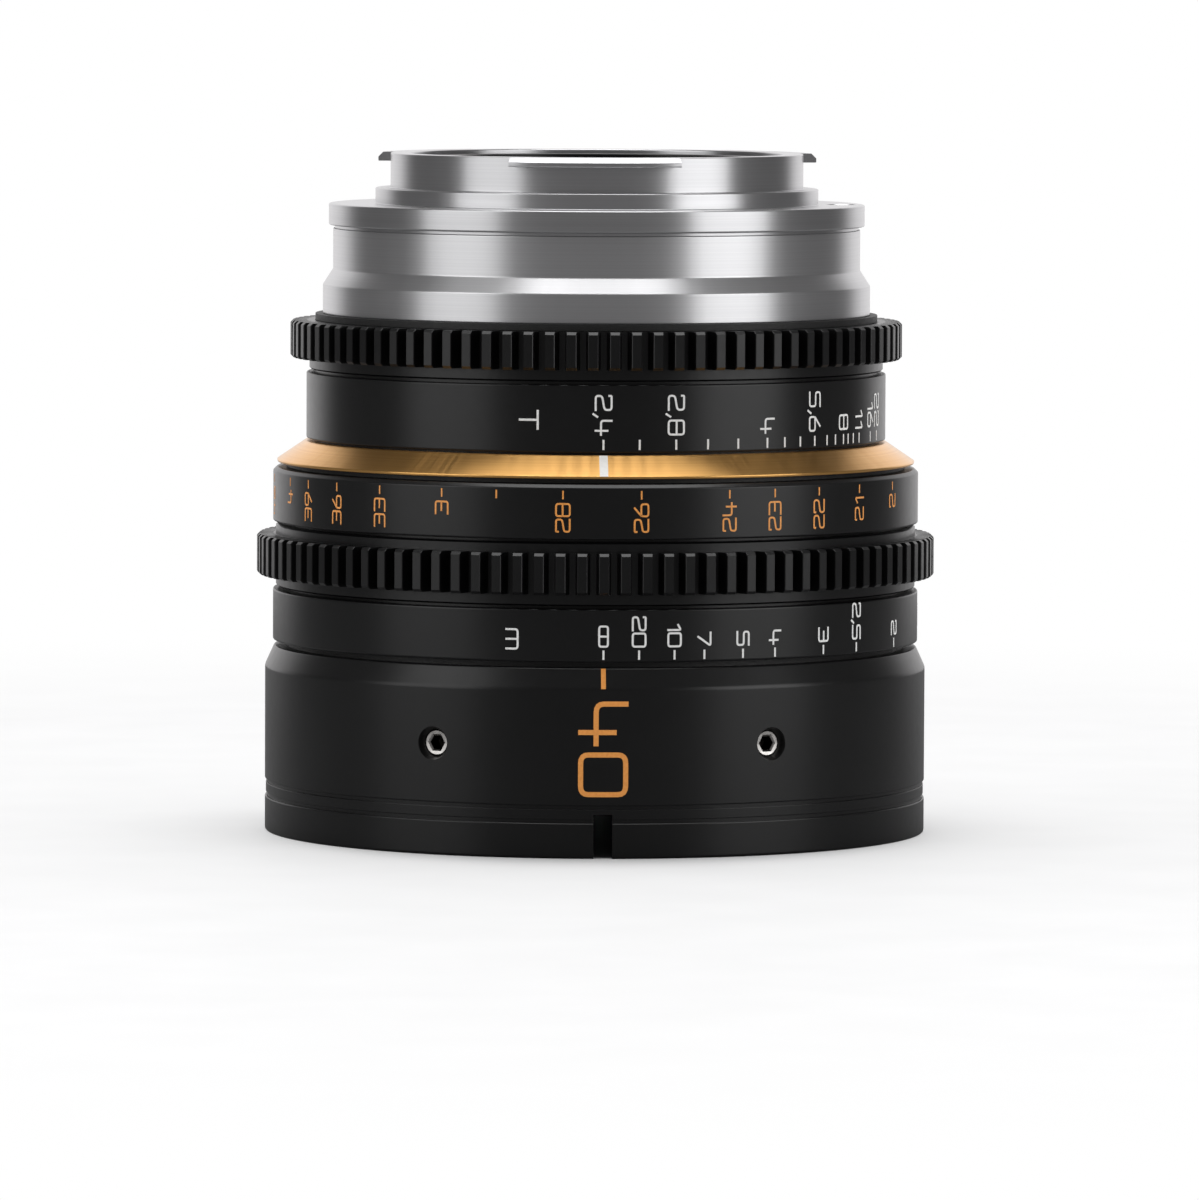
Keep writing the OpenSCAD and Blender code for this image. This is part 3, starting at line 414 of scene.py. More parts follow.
# %% Glass finishes
GLASS_IOR, COAT_IOR, POLISH, POLISH_MARKS = 1.62, 1.38, 0.015, 300.0


def coated_glass(name, film, tint):
    """Clear glass with a coating, film in nanometres. Noise in the roughness stands for polish marks."""
    finish, tree, shader = new_finish(name, Base_Color=(*tint, 1), IOR=GLASS_IOR, Transmission_Weight=1.0,
                                      Thin_Film_Thickness=film, Thin_Film_IOR=COAT_IOR)
    marks = noise(tree, own_place(tree), POLISH_MARKS)
    wire(tree, shader, Roughness=spread(tree, marks, 0.0, POLISH))
    return finish


front_glass = coated_glass("front_glass_coat", 430.0, (0.97, 0.98, 0.99))
rear_glass = coated_glass("rear_glass_coat", 520.0, (0.97, 0.99, 0.98))
inner_glass = coated_glass("inner_glass_coat", 360.0, (0.98, 0.98, 0.98))
print("glass:", front_glass.name, rear_glass.name, inner_glass.name)

# %% [markdown]
# The rings. Each section below repeats the CAD ring's own radii, with its corners rounded by a tenth
# of a millimetre or so: that is the broken edge a machinist leaves, and it is what draws the thin
# bright lines round a real barrel. Corners that nothing can see stay sharp.

# %% Turn a ring
def turned(name, section, radius, finish, columns=240, steps=4):
    """A full ring from its half-section and the radius of each corner."""
    return build(name, [grid_part(turned_grid(rounded(section, radius, steps), columns))], finish)


def ring_piece(name, section, radius, finish, body, slot, node, columns=240):
    """A turned ring that stands for one CAD node, settled on its body."""
    settle(turned(name, section, radius, finish, columns), body, slot, node)


def band(bore, radius, low, high):
    """Half-section of a plain ring."""
    return [(bore, low), (radius, low), (radius, high), (bore, high)]


def saw(start, end, pitch, depth):
    """Zigzag from start to end: every second point is moved by depth, one tooth for each pitch."""
    start, end = np.asarray(start, float), np.asarray(end, float)
    count = 2 * int(round(np.linalg.norm(end - start) / pitch)) + 1
    line = start + (end - start) * np.linspace(0, 1, count)[:, None]
    line[1::2] += depth
    return [tuple(p) for p in line]


print("ring helpers ready")

# %% [markdown]
# The front ring carries the filter thread inside and two slots for a spanner. A real thread is a
# helix. Here it is a plain zigzag in the section, which looks the same at a pitch of 0.75 mm and keeps
# the ring one closed grid. The slots are milled, so a straight cutter takes them from the turned ring.
# Drilled holes are cut with turned solids.

# %% Cutters
def box_grid(low, high):
    """A straight cutter: the four corners of a rectangle carried from one height to the other."""
    (x0, y0, z0), (x1, y1, z1) = low, high
    loop = np.array([(x0, y0), (x1, y0), (x1, y1), (x0, y1)])
    return np.stack([np.column_stack([loop, np.full(4, z)]) for z in (z0, z1)])


def turn_points(points, degrees):
    """Points turned about the optical axis."""
    c, s = math.cos(math.radians(degrees)), math.sin(math.radians(degrees))
    return points @ np.array([[c, s, 0], [-s, c, 0], [0, 0, 1]])


def radial_grid(profile, degrees, height, columns=32, shape=None):
    """Turned about a radius of the lens: P = (d, w cos f, height + w sin f), then turned to its angle.
    profile is rows of (d, w, formed). shape(f) scales the rows whose third value is 1."""
    f = np.linspace(0, 2 * np.pi, columns, endpoint=False)[:, None]
    d, w, formed = np.asarray(profile, float).T
    wide = w * np.where(formed > 0, shape(f) if shape else np.ones_like(f), 1.0)
    grid = np.stack([np.broadcast_to(d, wide.shape), wide * np.cos(f), height + wide * np.sin(f)], -1)
    return turn_points(grid, degrees)


def upright_grid(profile, radius, degrees, columns=32):
    """Turned about a line parallel to the axis, at a radius and an angle. profile is rows of (w, z)."""
    grid = turned_grid(profile, columns)
    grid[..., 0] += radius
    return turn_points(grid, degrees)


def drill(obj, grids):
    """Cut turned solids out of a piece. Each profile starts and ends on its own line, which closes it."""
    cut(obj, build("cutter", [grid_part(grid, wrap_rows=False) for grid in grids], steel, merge=True))


print("cutters ready")

# %% Front ring with filter thread and spanner slots
FRONT_R, FILTER_R, SPIGOT_R, LIP_R = outer("front_ring"), 38.5, 39.0, 35.5
RIM_TOP = heights("front_barrel")[0]
SPIGOT_TOP = heights("front_ring")[1]
FILTER_DEPTH, THREAD, THREAD_DEEP, THREAD_END, THREAD_START = 5.0, 0.75, 0.35, 0.4, 0.8
LAND, CUT = 0.6, 0.45
LAND_R, GROOVE_R = FRONT_R - 0.12, FRONT_R - 0.35
RIM_LAND, RIM_CUT = RIM_TOP - LAND, RIM_TOP - LAND - CUT
SPANNER_W, SPANNER_IN, SPANNER_OVER = 2.2, 1.5, 1.0

thread = saw((FILTER_R, FILTER_DEPTH - THREAD_END), (FILTER_R, THREAD_START), THREAD, (-THREAD_DEEP, 0))
rim_section = [
    (FILTER_R + THREAD_DEEP, 0), (FRONT_R, 0), (FRONT_R, RIM_CUT), (GROOVE_R, RIM_CUT),
    (GROOVE_R, RIM_LAND), (LAND_R, RIM_LAND), (LAND_R, RIM_TOP), (SPIGOT_R, RIM_TOP),
    (SPIGOT_R, SPIGOT_TOP), (LIP_R, SPIGOT_TOP), (LIP_R, FILTER_DEPTH), (FILTER_R, FILTER_DEPTH)]
rim_round = [0.1, 0.3, 0.16, 0, 0, 0.06, 0, 0, 0, 0.1, 0.1, 0] + [0.03] * len(thread)
front_ring = turned("front_ring_turned", rim_section + thread, rim_round, black_anodise, steps=3)
slot_cut = box_grid((FILTER_R - SPANNER_IN, -SPANNER_W / 2, -SPANNER_OVER),
                    (FRONT_R + SPANNER_OVER, SPANNER_W / 2, RIM_TOP))
slots = [grid_part(turn_points(slot_cut, INDEX + side), wrap_columns=False, caps=True) for side in SIDES]
cut(front_ring, build("slots", slots, black_anodise))
settle(front_ring, "fixed_barrel", "black_anodised", "front_ring")

# %% [markdown]
# The front barrel is clamped by four grub screws in drilled holes, 30 degrees either side of the index
# and of its far side. Each screw is a small turned plug with a hexagon socket. A six-sided cutter could
# make the socket, but the plug's own grid can hold it, and its walls stay clean: the socket's outline
# is the apothem divided by the cosine of the angle from the middle of the nearest flat.

# %% Front barrel with its screw holes
BARREL_TOP = heights("front_barrel")[1]
BARREL_IN, COLLAR_R, TAPER_H, BARREL_END = 39.03, 36.83, 2.4, 38.9
BARREL_LAND, BARREL_CUT = RIM_TOP + LAND, RIM_TOP + LAND + CUT
SCREW_R, SCREW_Z, SCREW_TOP, SCREW_FOOT = 1.5, 13.2, 39.0, 36.43
SCREW_ANGLES = [INDEX + side + apart for side in SIDES for apart in (-30, 30)]
FIT = 0.03
HOLE_R, SINK_R, HOLE_FROM, HOLE_TO = SCREW_R + FIT, SCREW_R + 0.5, 35.0, 41.5

barrel_section = [
    (BARREL_IN, RIM_TOP), (LAND_R, RIM_TOP), (LAND_R, BARREL_LAND), (GROOVE_R, BARREL_LAND),
    (GROOVE_R, BARREL_CUT), (FRONT_R, BARREL_CUT), (FRONT_R, BARREL_TOP - TAPER_H),
    (BARREL_END, BARREL_TOP), (COLLAR_R, BARREL_TOP), (COLLAR_R, SPIGOT_TOP), (BARREL_IN, SPIGOT_TOP)]
barrel_round = [0, 0, 0.06, 0, 0, 0.12, 0.25, 0.15, 0, 0, 0]
front_barrel = turned("front_barrel_turned", barrel_section, barrel_round, black_anodise, 288)
hole = [
    (HOLE_FROM, 0.0, 0), (HOLE_FROM, HOLE_R, 0), (SCREW_TOP - 0.1, HOLE_R, 0),
    (FRONT_R + 0.05, SINK_R, 0), (HOLE_TO, SINK_R, 0), (HOLE_TO, 0.0, 0)]
drill(front_barrel, [radial_grid(hole, angle, SCREW_Z) for angle in SCREW_ANGLES])
settle(front_barrel, "fixed_barrel", "black_anodised", "front_barrel")

# %% Grub screws with hexagon sockets
SOCKET_A, SOCKET_DEEP, SCREW_POINT = 0.8, 2.1, 1.0
# the dark tone down in the socket is painted shade for the recess, not a coat on the steel
SOCKET_SHADE, BRIGHT, DARK_BELOW, BRIGHT_ABOVE = (0.02, 0.018, 0.016), (0.6, 0.58, 0.56), 0.3, 0.06


def hexagon(f):
    """Outline of a hexagon with apothem 1: 1 / cos(angle from the nearest flat)."""
    return 1 / np.cos(np.mod(f, np.pi / 3) - np.pi / 6)


def socket_steel():
    """Screw steel that is bright at the turned end and darker down in the socket, where the dark tone is
    painted shade for the recess. The depth is the distance from the optical axis, sqrt(x^2 + y^2)."""
    finish, tree, shader = new_finish("grub_screw_steel", Metallic=1.0)
    place = own_place(tree)
    out = across_axis(tree, place)[1]
    end = ramp(tree, out, (SCREW_TOP - DARK_BELOW) * MM, (SCREW_TOP - BRIGHT_ABOVE) * MM, 0.0, 1.0)
    wire(tree, shader, Base_Color=tone_between(tree, end, SOCKET_SHADE, BRIGHT),
         Roughness=spread(tree, noise(tree, place, SATIN), 0.2, 0.265))
    return finish


plug = [
    (SCREW_FOOT, 0.0, 0), (SCREW_FOOT, SCREW_POINT, 0), (SCREW_FOOT + 0.5, SCREW_R, 0),
    (SCREW_TOP - 0.16, SCREW_R, 0), (SCREW_TOP - 0.05, SCREW_R - 0.03, 0), (SCREW_TOP, SCREW_R - 0.1, 0),
    (SCREW_TOP - 0.02, SOCKET_A + 0.2, 1), (SCREW_TOP - 0.2, SOCKET_A, 1),
    (SCREW_TOP - SOCKET_DEEP, SOCKET_A, 1), (SCREW_TOP - SOCKET_DEEP - 0.3, 0.0, 0)]
plugs = [grid_part(radial_grid(plug, angle, SCREW_Z, 48, hexagon), wrap_rows=False)
         for angle in SCREW_ANGLES]
settle(build("grub_screws", plugs, socket_steel(), merge=True), "fixed_barrel", "screw_steel",
       "front_set_screws")

# %% [markdown]
# The front baffle lies behind the filter thread. Its face is cut into fine ridges and is dull black,
# so that light which misses the glass dies between them. A bump could draw the ridges, but only ridges
# in the mesh shade each other.

# %% Front baffle with light-trap ridges
baffle_low, baffle_high = heights("front_baffle")
BAFFLE_IN, BAFFLE_OUT, RIDGE, RIDGE_DEEP = 29.4, 36.8, 0.7, 0.4
ridges = saw((BAFFLE_IN + 0.3, baffle_low), (LIP_R - 0.1, baffle_low), RIDGE, (0, RIDGE_DEEP))
baffle_section = [(BAFFLE_IN, baffle_low)] + ridges
baffle_section += [(BAFFLE_OUT, baffle_low), (BAFFLE_OUT, baffle_high), (BAFFLE_IN, baffle_high)]
ring_piece("front_baffle_ridged", baffle_section, [0.05] * len(baffle_section), light_trap, "fixed_barrel",
           "black_anodised", "front_baffle")

# %% [markdown]
# The gold index ring is a short cone between the two control rings. Its cone faces up and outwards, so
# it picks up the light from above, and its rounded lower edge shows as a bright line. The CAD ring has
# the cone already, and is turned again for its rounded edges and a finer grid.

# %% Index ring
index_low, index_high = heights("index_ring")
INDEX_R, INDEX_END_R, INDEX_BORE, INDEX_NECK, INDEX_LIP = outer("index_ring"), 35.2, 34.98, 32.43, 0.6
INDEX_FOOT = index_low + 0.3
index_section = [
    (INDEX_BORE, index_low), (INDEX_R - 0.1, index_low), (INDEX_R, INDEX_FOOT), (INDEX_END_R, index_high),
    (INDEX_NECK, index_high), (INDEX_NECK, index_high - INDEX_LIP), (INDEX_BORE, index_high - INDEX_LIP)]
ring_piece("index_ring_turned", index_section, [0, 0.08, 0.12, 0.12, 0, 0, 0], gold, "fixed_barrel",
           "gold_anodised", "index_ring", columns=360)

# %% [markdown]
# The rear barrel is bright turned aluminium: a skirt over the iris gear, a short cone and the neck.
# They are one section, as they are one piece of metal, so no seam shows where they meet. A thin shim
# sits between the neck and the mount flange, and shows as one dark line.

# %% Rear barrel and shim
rear_low, rear_high = heights("rear_barrel")
SKIRT_R, NECK_R, NECK_BORE, SKIRT_H, CONE_H = outer("rear_barrel"), 31.87, 27.5, 3.5, 1.9
THREAD_R, REAR_BORE, NECK_FLOOR, SKIRT_FLOOR = 32.03, 29.6, 68.65, 65.95
rear_section = [
    (THREAD_R, rear_low), (SKIRT_R, rear_low), (SKIRT_R, rear_low + SKIRT_H),
    (NECK_R, rear_low + SKIRT_H + CONE_H), (NECK_R, rear_high), (NECK_BORE, rear_high),
    (NECK_BORE, NECK_FLOOR), (REAR_BORE, NECK_FLOOR), (REAR_BORE, SKIRT_FLOOR), (THREAD_R, SKIRT_FLOOR)]
ring_piece("rear_barrel_turned", rear_section, [0, 0.15, 0.1, 0.1, 0.12, 0, 0, 0, 0, 0], silver,
           "fixed_barrel", "plain_aluminium", "rear_barrel", columns=360)

shim_low, shim_high = heights("flange_shim")
ring_piece("flange_shim_turned", band(NECK_BORE, outer("flange_shim"), shim_low, shim_high),
           [0, 0.05, 0.05, 0], mount_chrome, "fixed_barrel", "mount_steel", "flange_shim")

# %% [markdown]
# The camera mount: a flange with four countersunk screws and the bore for the lock pin, a register
# collar, and a tube with three bayonet tabs. The tabs could be cut from a full ring. As arcs of one
# small bevelled section, carried round the axis for 45 degrees each and closed at both ends, they need
# no cut. Their roots are sunk into the tube, below its top face, so that no two faces lie in one plane.

# %% Mount flange and tube
mount_low, mount_high = heights("bayonet_mount")
FLANGE_R, REGISTER_R, TUBE_R, MOUNT_BORE = outer("bayonet_mount"), 26.78, 24.95, 22.5
FLANGE_T, REGISTER_H, TUBE_EDGE = 2.6, 1.9, 0.15
HEAD_R, SHANK_R, SCREW_CIRCLE, SHANK_DEEP, OVER = 1.73, 0.98, 29.6, 4.0, 0.5
LOCK_R, LOCK_DEEP, LOCK_POINT, LOCK_EDGE, LOCK_OVER = 1.7, 1.8, 0.4, 0.15, 0.25
SEAT = mount_low + FLANGE_T
mount_section = [
    (MOUNT_BORE, mount_low), (FLANGE_R, mount_low), (FLANGE_R, SEAT), (REGISTER_R, SEAT),
    (REGISTER_R, SEAT + REGISTER_H), (TUBE_R, SEAT + REGISTER_H), (TUBE_R, mount_high),
    (MOUNT_BORE, mount_high)]
mount_round = [0, 0.18, 0.22, 0.1, 0.2, 0.1, TUBE_EDGE, 0.2]
mount = turned("mount_turned", mount_section, mount_round, mount_chrome, 288)
countersink = [
    (0, SEAT - SHANK_DEEP), (SHANK_R, SEAT - SHANK_DEEP), (SHANK_R, SEAT - HEAD_R + SHANK_R),
    (HEAD_R, SEAT), (HEAD_R + OVER, SEAT + OVER), (0, SEAT + OVER)]
pin_bore = [
    (0, SEAT - LOCK_DEEP - LOCK_POINT), (LOCK_R, SEAT - LOCK_DEEP), (LOCK_R, SEAT - LOCK_EDGE),
    (LOCK_R + LOCK_EDGE + LOCK_OVER, SEAT + LOCK_OVER), (0, SEAT + LOCK_OVER)]
bores = [upright_grid(countersink, SCREW_CIRCLE, angle) for angle in (45, 135, 225, 315)]
drill(mount, bores + [upright_grid(pin_bore, SCREW_CIRCLE, 0)])
settle(mount, "fixed_barrel", "mount_steel", "bayonet_mount")

# %% Bayonet tabs
TAB_T, TAB_BEVEL, TAB_ROOT, TAB_ARC, TAB_TURN, TAB_COLUMNS = 1.1, 0.6, 23.7, 45.2, -2, 33
tab_corners = [
    (TAB_ROOT, mount_high - TAB_T), (REGISTER_R, mount_high - TAB_T),
    (REGISTER_R, mount_high - TAB_BEVEL), (REGISTER_R - TAB_BEVEL, mount_high),
    (TUBE_R - TUBE_EDGE, mount_high), (TAB_ROOT, mount_high - TAB_T / 2)]
tab_angles = np.radians(np.linspace(-TAB_ARC / 2, TAB_ARC / 2, TAB_COLUMNS))
tab_grid = arc_grid(rounded(tab_corners, [0, 0.12, 0.06, 0.06, 0, 0]), tab_angles)
tabs = [grid_part(turn_points(tab_grid, INDEX + TAB_TURN + third), wrap_columns=False, caps=True)
        for third in (0, 120, 240)]
settle(build("bayonet_tabs", tabs, mount_chrome), "fixed_barrel", "mount_steel")

# %% Rear baffle
trap_low, trap_high = heights("rear_baffle")
TRAP_R, TRAP_WALL, TRAP_LIP, TRAP_LIP_T, TRAP_RIDGE, TRAP_DEEP = 22.47, 1.0, 3.0, 0.8, 0.6, 0.35
trap_in, trap_mouth = TRAP_R - TRAP_WALL, TRAP_R - TRAP_LIP
trap_ridges = saw((trap_in, trap_high - 1.2), (trap_in, trap_low + 0.2), TRAP_RIDGE, (TRAP_DEEP, 0))
trap_section = [
    (trap_in, trap_low), (TRAP_R, trap_low), (TRAP_R, trap_high), (trap_mouth, trap_high),
    (trap_mouth, trap_high - TRAP_LIP_T)]
trap_round = [0, 0, 0.1, 0.12, 0.08] + [0.04] * len(trap_ridges)
ring_piece("rear_baffle_ridged", trap_section + trap_ridges, trap_round, black_anodise, "fixed_barrel",
           "black_anodised", "rear_baffle")

# %% [markdown]
# The control rings: a distance band below the focus gear, the sleeve whose upper end is the second
# scale band, and the iris ring. They turn on the barrel, so each rides on its own body.

# %% Scale bands
dist_low, dist_high = heights("distance_ring")
BAND_R, BAND_BORE = outer("distance_ring"), 37.43
ring_piece("distance_band", band(BAND_BORE, BAND_R, dist_low, dist_high), [0, 0.2, 0.2, 0], black_anodise,
           "focus_ring", "black_anodised", "distance_ring", columns=288)

sleeve_low, sleeve_high = heights("focus_sleeve")
SLEEVE_R, SLEEVE_BORE, FAR_BAND_H, SLEEVE_EDGE = 37.4, 36.03, 6.5, 0.45
far_low = sleeve_high - FAR_BAND_H
sleeve_section = [
    (SLEEVE_BORE, sleeve_low), (SLEEVE_R, sleeve_low), (SLEEVE_R, far_low), (BAND_R, far_low),
    (BAND_R, sleeve_high - SLEEVE_EDGE), (BAND_R - SLEEVE_EDGE, sleeve_high), (SLEEVE_BORE, sleeve_high)]
ring_piece("focus_sleeve_turned", sleeve_section, [0, 0, 0, 0.2, 0.1, 0.1, 0], black_anodise, "focus_ring",
           "black_anodised", "focus_sleeve", columns=288)

iris_low, iris_high = heights("iris_ring")
IRIS_R, IRIS_SEAT, IRIS_BORE = outer("iris_ring"), 34.0, 32.45
iris_step = iris_low + 8.0
iris_section = [
    (IRIS_BORE, iris_low), (IRIS_R, iris_low), (IRIS_R, iris_step), (IRIS_SEAT, iris_step),
    (IRIS_SEAT, iris_high), (IRIS_BORE, iris_high)]
ring_piece("iris_band", iris_section, [0, 0.2, 0.2, 0, 0, 0], black_anodise, "iris_ring", "black_anodised",
           "iris_ring", columns=288)

# %% [markdown]
# Both control rings have a gear of module 0.8, the size that follow-focus units use. An Array modifier
# could repeat one tooth, with a joint to merge at every root. Here a tooth's outline is a few points in
# radius and angle, repeated round the ring as numbers. Carried up the axis row by row, with the tip
# radius drawn in at both ends, it gives one closed gear with chamfered teeth.

# %% Gear teeth
MODULE, FLANK, ADDENDUM, TOOTH_GAIN, TOOTH_EDGE = 0.8, math.radians(8), 1.0, 0.2, 0.07
CHAMFER, SHOULDER_DROP, SHOULDER_EDGE, GEAR_SHARP = 0.32, 0.3, 0.2, 20
LOWER_SHOULDER, UPPER_SHOULDER = 1.4, 1.2


def tooth_half(n, r):
    """Half of a tooth's angle at radius r: (pi m / 4 + gain / 2 - (r - pitch radius) tan(flank)) / r."""
    return (math.pi * MODULE / 4 + TOOTH_GAIN / 2 - (r - n * MODULE / 2) * math.tan(FLANK)) / r


def gear_row(n, tip, root):
    """Radius and angle round one row of a gear: root, flank, broken edge and tip of every tooth."""
    edge_r = np.maximum(tip - TOOTH_EDGE, root)
    half = np.array([tooth_half(n, root), tooth_half(n, edge_r), tooth_half(n, tip) - TOOTH_EDGE / tip])
    r = np.array([root, edge_r, tip, tip, edge_r, root])
    a = np.concatenate([-half, half[::-1]])
    teeth = np.arange(n)[:, None] * 2 * np.pi / n
    return np.tile(r, n), (teeth + a).ravel()


def gear_grid(n, bore, root, tip, rows):
    """P(a, v): outline rows (tip radius, height) up the outside, then the bore. A tip at or below the
    root is the plain shoulder."""
    angles = gear_row(n, tip, root)[1]
    columns = []
    for limit, z in rows + [(bore, rows[-1][1]), (bore, rows[0][1])]:
        r, a = gear_row(n, limit, root) if limit > root else (np.full(angles.shape, limit), angles)
        columns.append(np.stack([r * np.cos(a), r * np.sin(a), np.full(r.shape, z)], -1))
    return np.stack(columns, 1)


def gear_piece(name, node, n, bore, upper, body):
    """A gear of n teeth on its CAD node: lower shoulder, chamfered teeth, and an upper shoulder or none."""
    z0, z1 = heights(node)
    low, high = z0 + LOWER_SHOULDER, z1 - upper
    root, tip = n * MODULE / 2 - ADDENDUM, n * MODULE / 2 + ADDENDUM
    shoulder = root - SHOULDER_DROP
    rows = [
        (shoulder - SHOULDER_EDGE, z0), (shoulder, z0 + SHOULDER_EDGE), (shoulder, low),
        (tip - CHAMFER, low), (tip, low + CHAMFER), (tip, high - CHAMFER), (tip - CHAMFER, high)]
    if upper:
        rows += [(shoulder, high), (shoulder, z1 - SHOULDER_EDGE), (shoulder - SHOULDER_EDGE, z1)]
    teeth = grid_part(gear_grid(n, bore, root, tip, rows))
    settle(build(name, [teeth], gear_anodise, sharp=GEAR_SHARP), body, "black_anodised", node)


gear_piece("focus_gear_cut", "focus_gear", 100, BAND_BORE, UPPER_SHOULDER, "focus_ring")
gear_piece("iris_gear_cut", "iris_gear", 90, IRIS_SEAT + FIT, 0.0, "iris_ring")

# %% [markdown]
# The scales are engraved and filled with paint. A text object could be bent round a ring, but letters
# of a font have outlines, while an engraving cutter follows a single line. So the figures are drawn
# here as strokes of unit height, with rounded corners, and each stroke becomes a thin closed band
# that is wrapped on its ring. The band sits in the metal and stands 0.02 mm proud.

# %% Stroke figures
W = 0.78  # width of most figures, whose height is 1
STROKES = {
    "0": [[(0, 0), (W, 0), (W, 1), (0, 1), (0, 0)]],
    "1": [[(0.12, 0.78), (0.42, 1), (0.42, 0)]],
    "2": [[(0, 0.86), (0, 1), (W, 1), (W, 0.56), (0, 0.4), (0, 0), (W, 0)]],
    "3": [[(0, 1), (W, 1), (W, 0), (0, 0)], [(0.22, 0.52), (W, 0.52)]],
    "4": [[(0, 1), (0, 0.34), (W, 0.34)], [(0.56, 0.74), (0.56, 0)]],
    "5": [[(W, 1), (0, 1), (0, 0.56), (W, 0.56), (W, 0), (0, 0)]],
    "6": [[(0.52, 1), (0, 0.5), (0, 0), (W, 0), (W, 0.52), (0.03, 0.52)]],
    "7": [[(0, 1), (W, 1), (0.24, 0)]],
    "8": [[(0, 0), (W, 0), (W, 1), (0, 1), (0, 0)], [(0, 0.52), (W, 0.52)]],
    "9": [[(0.26, 0), (W, 0.5), (W, 1), (0, 1), (0, 0.48), (W - 0.03, 0.48)]],
    ",": [[(0.16, 0.1), (0.02, -0.14)]],
    "T": [[(0, 1), (0.86, 1)], [(0.43, 1), (0.43, 0)]],
    "m": [[(0, 0), (0, 0.7), (1.04, 0.7), (1.04, 0)], [(0.52, 0.7), (0.52, 0)]],
    "oo": [[(0, 0.16), (1.2, 0.16), (1.2, 0.84), (0, 0.84), (0, 0.16)], [(0.6, 0.16), (0.6, 0.84)]],
}
SPACE, WIDE, BEND, BEND_STEPS = 0.25, 1.13, 0.17, 4
SUNK, PROUD, FIGURE_STEP, TICK_STEP = -0.06, 0.02, 0.6, 0.1


def widths(figures):
    """Width of each figure, from its strokes."""
    return [max(x for stroke in STROKES[f] for x, _ in stroke) for f in figures]


def soften(line, radius):
    """A stroke with its inner corners curved, on the same Bezier as the ring sections."""
    line = np.asarray(line, float)
    if np.allclose(line[0], line[-1]):
        curved = rounded(line[:-1], np.full(len(line) - 1, radius), BEND_STEPS, 0.0)
        return np.vstack([curved, curved[:1]])
    if len(line) == 2:
        return line
    bend = np.full(len(line), radius)
    bend[[0, -1]] = 0
    return rounded(line, bend, BEND_STEPS, 0.0)


def resampled(line, step):
    """The line with extra points, so that no stretch is much longer than step."""
    length = np.concatenate([[0], np.cumsum(np.linalg.norm(np.diff(line, axis=0), axis=1))])
    even = np.linspace(0, length[-1], max(2, int(length[-1] / step) + 2))
    even = even[np.abs(even[:, None] - length[None]).min(1) > 0.15 * step]
    along = np.sort(np.concatenate([length, even]))
    return np.stack([np.interp(along, length, line[:, k]) for k in (0, 1)], 1)


def ribbon_part(line, width, wrap):
    """A closed band along a plane line. The sides are offset by the mitre (n1 + n2) / (1 + n1 . n2) of
    the two neighbouring normals, and wrap(points, rise) lays a side on the ring."""
    line = np.array(line, float)
    loop = len(line) > 3 and np.allclose(line[0], line[-1])
    step = np.diff(line, axis=0)
    step /= np.linalg.norm(step, axis=1)[:, None]
    if loop:
        line, before, after = line[:-1], np.roll(step, 1, 0), step
    else:
        line[0] -= step[0] * width / 2
        line[-1] += step[-1] * width / 2
        before, after = np.vstack([step[:1], step]), np.vstack([step, step[-1:]])
    side = np.stack([-(before + after)[:, 1], (before + after)[:, 0]], 1)
    side *= (width / 2 / (1 + (before * after).sum(1)))[:, None]
    left, right = line + side, line - side
    rows = [wrap(left, SUNK), wrap(right, SUNK), wrap(right, PROUD), wrap(left, PROUD)]
    return grid_part(np.stack(rows, 1), wrap_columns=loop, caps=not loop)


print("figures:", " ".join(STROKES))

# %% Laying marks on a ring
def on_ring(profile, degrees, z_end, down):
    """Map from the drawing plane to a ring. profile is (z, r) points of its surface. The text ends at
    height z_end. It reads down the ring with its tops turned to growing angles, or up the other way."""
    z_line, r_line = np.asarray(profile, float).T
    way = 1 if down else -1

    def wrap(points, rise):
        """P = ((r + rise) cos a, (r + rise) sin a, z), z = z_end - way x, a = angle + way y / r."""
        z = z_end - way * points[:, 0]
        r = np.interp(z, z_line, r_line)
        a = math.radians(degrees) + way * points[:, 1] / r
        return np.stack([(r + rise) * np.cos(a), (r + rise) * np.sin(a), z], 1)
    return wrap


def text_parts(figures, cap, stroke, profile, degrees, z_end, down=True, wide=WIDE):
    """Bands for a row of figures whose last one ends at z_end, centred on the angle. wide stretches
    the figures along the row."""
    across = wide * np.array(widths(figures))
    starts = np.concatenate([[0], np.cumsum(across + SPACE)[:-1]])
    total = starts[-1] + across[-1]
    wrap = on_ring(profile, degrees, z_end, down)
    bands = []
    for figure, start in zip(figures, starts):
        for line in STROKES[figure]:
            drawn = (soften(line, BEND) * (wide, 1) + (start - total, -0.5)) * cap
            bands.append(ribbon_part(resampled(drawn, FIGURE_STEP), stroke, wrap))
    return bands


def tick_part(profile, degrees, z0, z1, stroke):
    """A straight mark along the axis from z0 to z1."""
    wrap = on_ring(profile, degrees, max(z0, z1), True)
    ends = np.array([(stroke / 2, 0), (abs(z1 - z0) - stroke / 2, 0)])
    return ribbon_part(resampled(ends, TICK_STEP), stroke, wrap)


print("widths of 0, 1 and 2:", widths("012"))

# %% [markdown]
# The distance scale follows the cam: the ring's angle is 122.5 / (distance - 0.11) degrees with the
# distance in metres, which puts infinity at 0 and the near limit of 0.56 m at 270 degrees. The second
# band repeats it in feet and inches, turned half way round for the person on the other side: its
# figures run feet and inches together, so that 28 stands for two feet eight. Two more marks there have
# no figure.

# %% Distance scales
THROW_K, THROW_OFFSET, FOOT, FEET_TURN = 122.5, 0.11, 0.3048, 178.6
LINE = 0.24
FEET_LINE, FEET_TICK = LINE * 0.9, LINE * 0.8
METRE_CAP, METRE_WIDE, UNIT_CAP, UNIT_ANGLE, FEET_CAP = 1.52, 1.3, 1.95, -15.5, 1.62


def focus_angle(metres):
    """Angle of a distance mark to the right of the index, in degrees."""
    return THROW_K / (metres - THROW_OFFSET)


